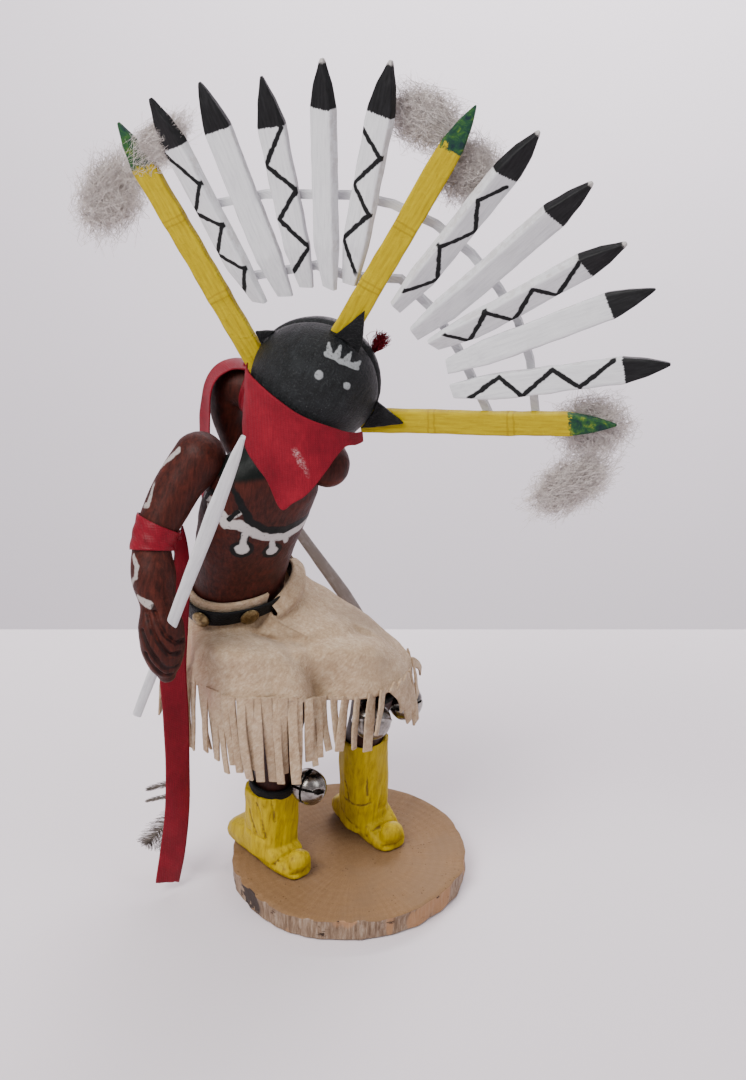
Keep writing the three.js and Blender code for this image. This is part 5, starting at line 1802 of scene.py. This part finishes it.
def makeGarters():
    leather = leatherFinish("strap_leather", 0.6)
    for name in ("right", "left"):
        leg, low, high = garters[name]
        at = along(body[leg], facing)
        heights = [(t / 400, at(t / 400)[0].z) for t in range(120, 401)]
        mesh = bmesh.new()

        def level(z):
            return min(heights, key=lambda h: abs(h[1] - z))[0]

        bottom, top = level(low), level(high)

        def place(u, v):
            a = 2 * math.pi * v
            turn = 2 * math.pi * u
            t = bottom + (top - bottom) * (0.5 + 0.5 * bend(math.cos(a), 5))
            middle, tangent, front, side, wide, deep = at(t)
            ragged = 0.35 * softNoise(polar(turn, 12, math.cos(a)), 0.35, 2.0)
            lift = 1.05 + 0.7 * bend(math.sin(a), 3) + 0.3 * softNoise(polar(turn, 8, a), 0.3, 7.0)
            ring = side * (wide + lift) * math.cos(turn) + front * (deep + lift) * math.sin(turn)
            return middle + ring + tangent * ragged

        mapped(mesh, 96, 20, place)
        bmesh.ops.remove_doubles(mesh, verts=mesh.verts, dist=1e-3)
        finished(mesh, f"{name}Strap", leather, f"{name}_garter", recalculate=True)


bells = {
    "radius": 6.6,
    "wall": 0.5,
    "slot": 0.5,
    "hole": 1.15,
    "reach": 5.6,
    "pellet": 1.9,
    "loop": (1.25, 0.4),
    "places": [
        ((-13.2, -11.6, 46.4), (-0.45, -0.8, 0.4)),
        ((9.8, -9.9, 74), (0, -0.6, -0.8)),
        ((22.3, 13, 67.6), (0.5, -0.7, 0.3)),
    ],
}


def makeBells():
    nickel = nickelFinish()
    # the pellets get a near-black finish: painted shade for the bell's dark hollow seen through the slots
    dark = leatherFinish("bell_pellet_as_hollow_shade", 0.7)
    for number, (centre, mouth) in enumerate(bells["places"]):
        r = bells["radius"]
        mesh = bmesh.new()
        bmesh.ops.create_uvsphere(mesh, u_segments=96, v_segments=56, radius=r)
        for offset in (-bells["slot"], bells["slot"]):
            for axis in ((1, 0, 0), (0, 1, 0)):
                plane = Vector(axis) * offset
                bmesh.ops.bisect_plane(mesh, geom=mesh.verts[:] + mesh.edges[:] + mesh.faces[:], plane_co=plane,
                                       plane_no=axis)
        gone = []
        for face in mesh.faces:
            c = face.calc_center_median()
            if c.z < 0:
                continue
            inX = abs(c.x) < bells["slot"] and abs(c.y) < bells["reach"]
            inY = abs(c.y) < bells["slot"] and abs(c.x) < bells["reach"]
            ends = min(math.hypot(abs(c.x) - bells["reach"], c.y), math.hypot(c.x, abs(c.y) - bells["reach"]))
            if inX or inY or ends < bells["hole"] and c.z < r * 0.7:
                gone.append(face)
        bmesh.ops.delete(mesh, geom=gone, context="FACES")
        for vert in mesh.verts:
            seam = math.exp(-((vert.co.z / 0.35) ** 2)) * 0.28
            vert.co += vert.co.normalized() * (seam + 0.04 * softNoise(vert.co, 0.4, number + 2.0))
        pole = Vector(mouth).normalized()
        turn = pole.to_track_quat("Z", "Y").to_matrix()
        for vert in mesh.verts:
            vert.co = turn @ vert.co + Vector(centre)
        bmesh.ops.recalc_face_normals(mesh, faces=mesh.faces)
        finished(mesh, f"roundBell{number + 1}", nickel, f"bell_{number + 1}", wall=bells["wall"],
                 offset=-1, smooth=50)

        mesh = bmesh.new()
        bmesh.ops.create_icosphere(mesh, subdivisions=3, radius=bells["pellet"])
        for vert in mesh.verts:
            vert.co = vert.co * (1 + 0.05 * softNoise(vert.co, 1.0)) + Vector(centre) + vec(0, 0, -r + 2.6)
        finished(mesh, f"bellPellet{number + 1}", dark, recalculate=True)

        wide, thick = bells["loop"]
        loop = bmesh.new()
        back = Vector(centre) - pole * (r + 0.5)
        side = pole.orthogonal().normalized()

        def place(u, v):
            a, b = 2 * math.pi * u, 2 * math.pi * v
            ring = side * math.cos(a) + pole * math.sin(a)
            return back + ring * (wide + thick * math.cos(b)) + side.cross(pole) * thick * math.sin(b)

        mapped(loop, 28, 12, place)
        bmesh.ops.remove_doubles(loop, verts=loop.verts, dist=1e-3)
        finished(loop, f"bellLoop{number + 1}", nickel, recalculate=True)


def makeStage():
    far, back = studio["farEdge"], studio["backdropAt"]
    for name, corners in (
        ("floor", [(-2, -1.5, 0), (2, -1.5, 0), (2, far, 0), (-2, far, 0)]),
        ("backdrop", [(-3, back, -2.2), (3, back, -2.2), (3, back, 2.5), (-3, back, 2.5)]),
    ):
        mesh = bmesh.new()
        bmesh.ops.contextual_create(mesh, geom=[mesh.verts.new(c) for c in corners])
        data = bpy.data.meshes.new(name)
        mesh.to_mesh(data)
        mesh.free()
        finish = Finish(f"{name}_paper", Roughness=0.8)
        cloud = finish.noise(0.004, 3.0, 0.5)
        colour = studio[name]
        finish.colour(finish.mix(cloud, colour, tuple(c * 0.95 for c in colour)))
        data.materials.append(finish.material)
        linked(name, data)


def main():
    makeCamera()
    makeLamps()
    report("slice and carving")
    makeSlice()
    makeBody()
    makeHead()
    makeBoots()
    report("fan and swords")
    makeFan()
    makeSwords()
    report("kilt and belt")
    kiltPiece, suede = makeKilt()
    fringe = makeFringe(suede)
    makeBelt()
    report("cloth, leather and feathers")
    makeBandana()
    makeEars()
    makeTuft()
    makeFluffs()
    makeRibbon("right")
    makeRibbon("left")
    makeFeathers("low")
    makeFeathers("high")
    report("straps and bells")
    makeGarters()
    makeBells()
    makeStage()


main()
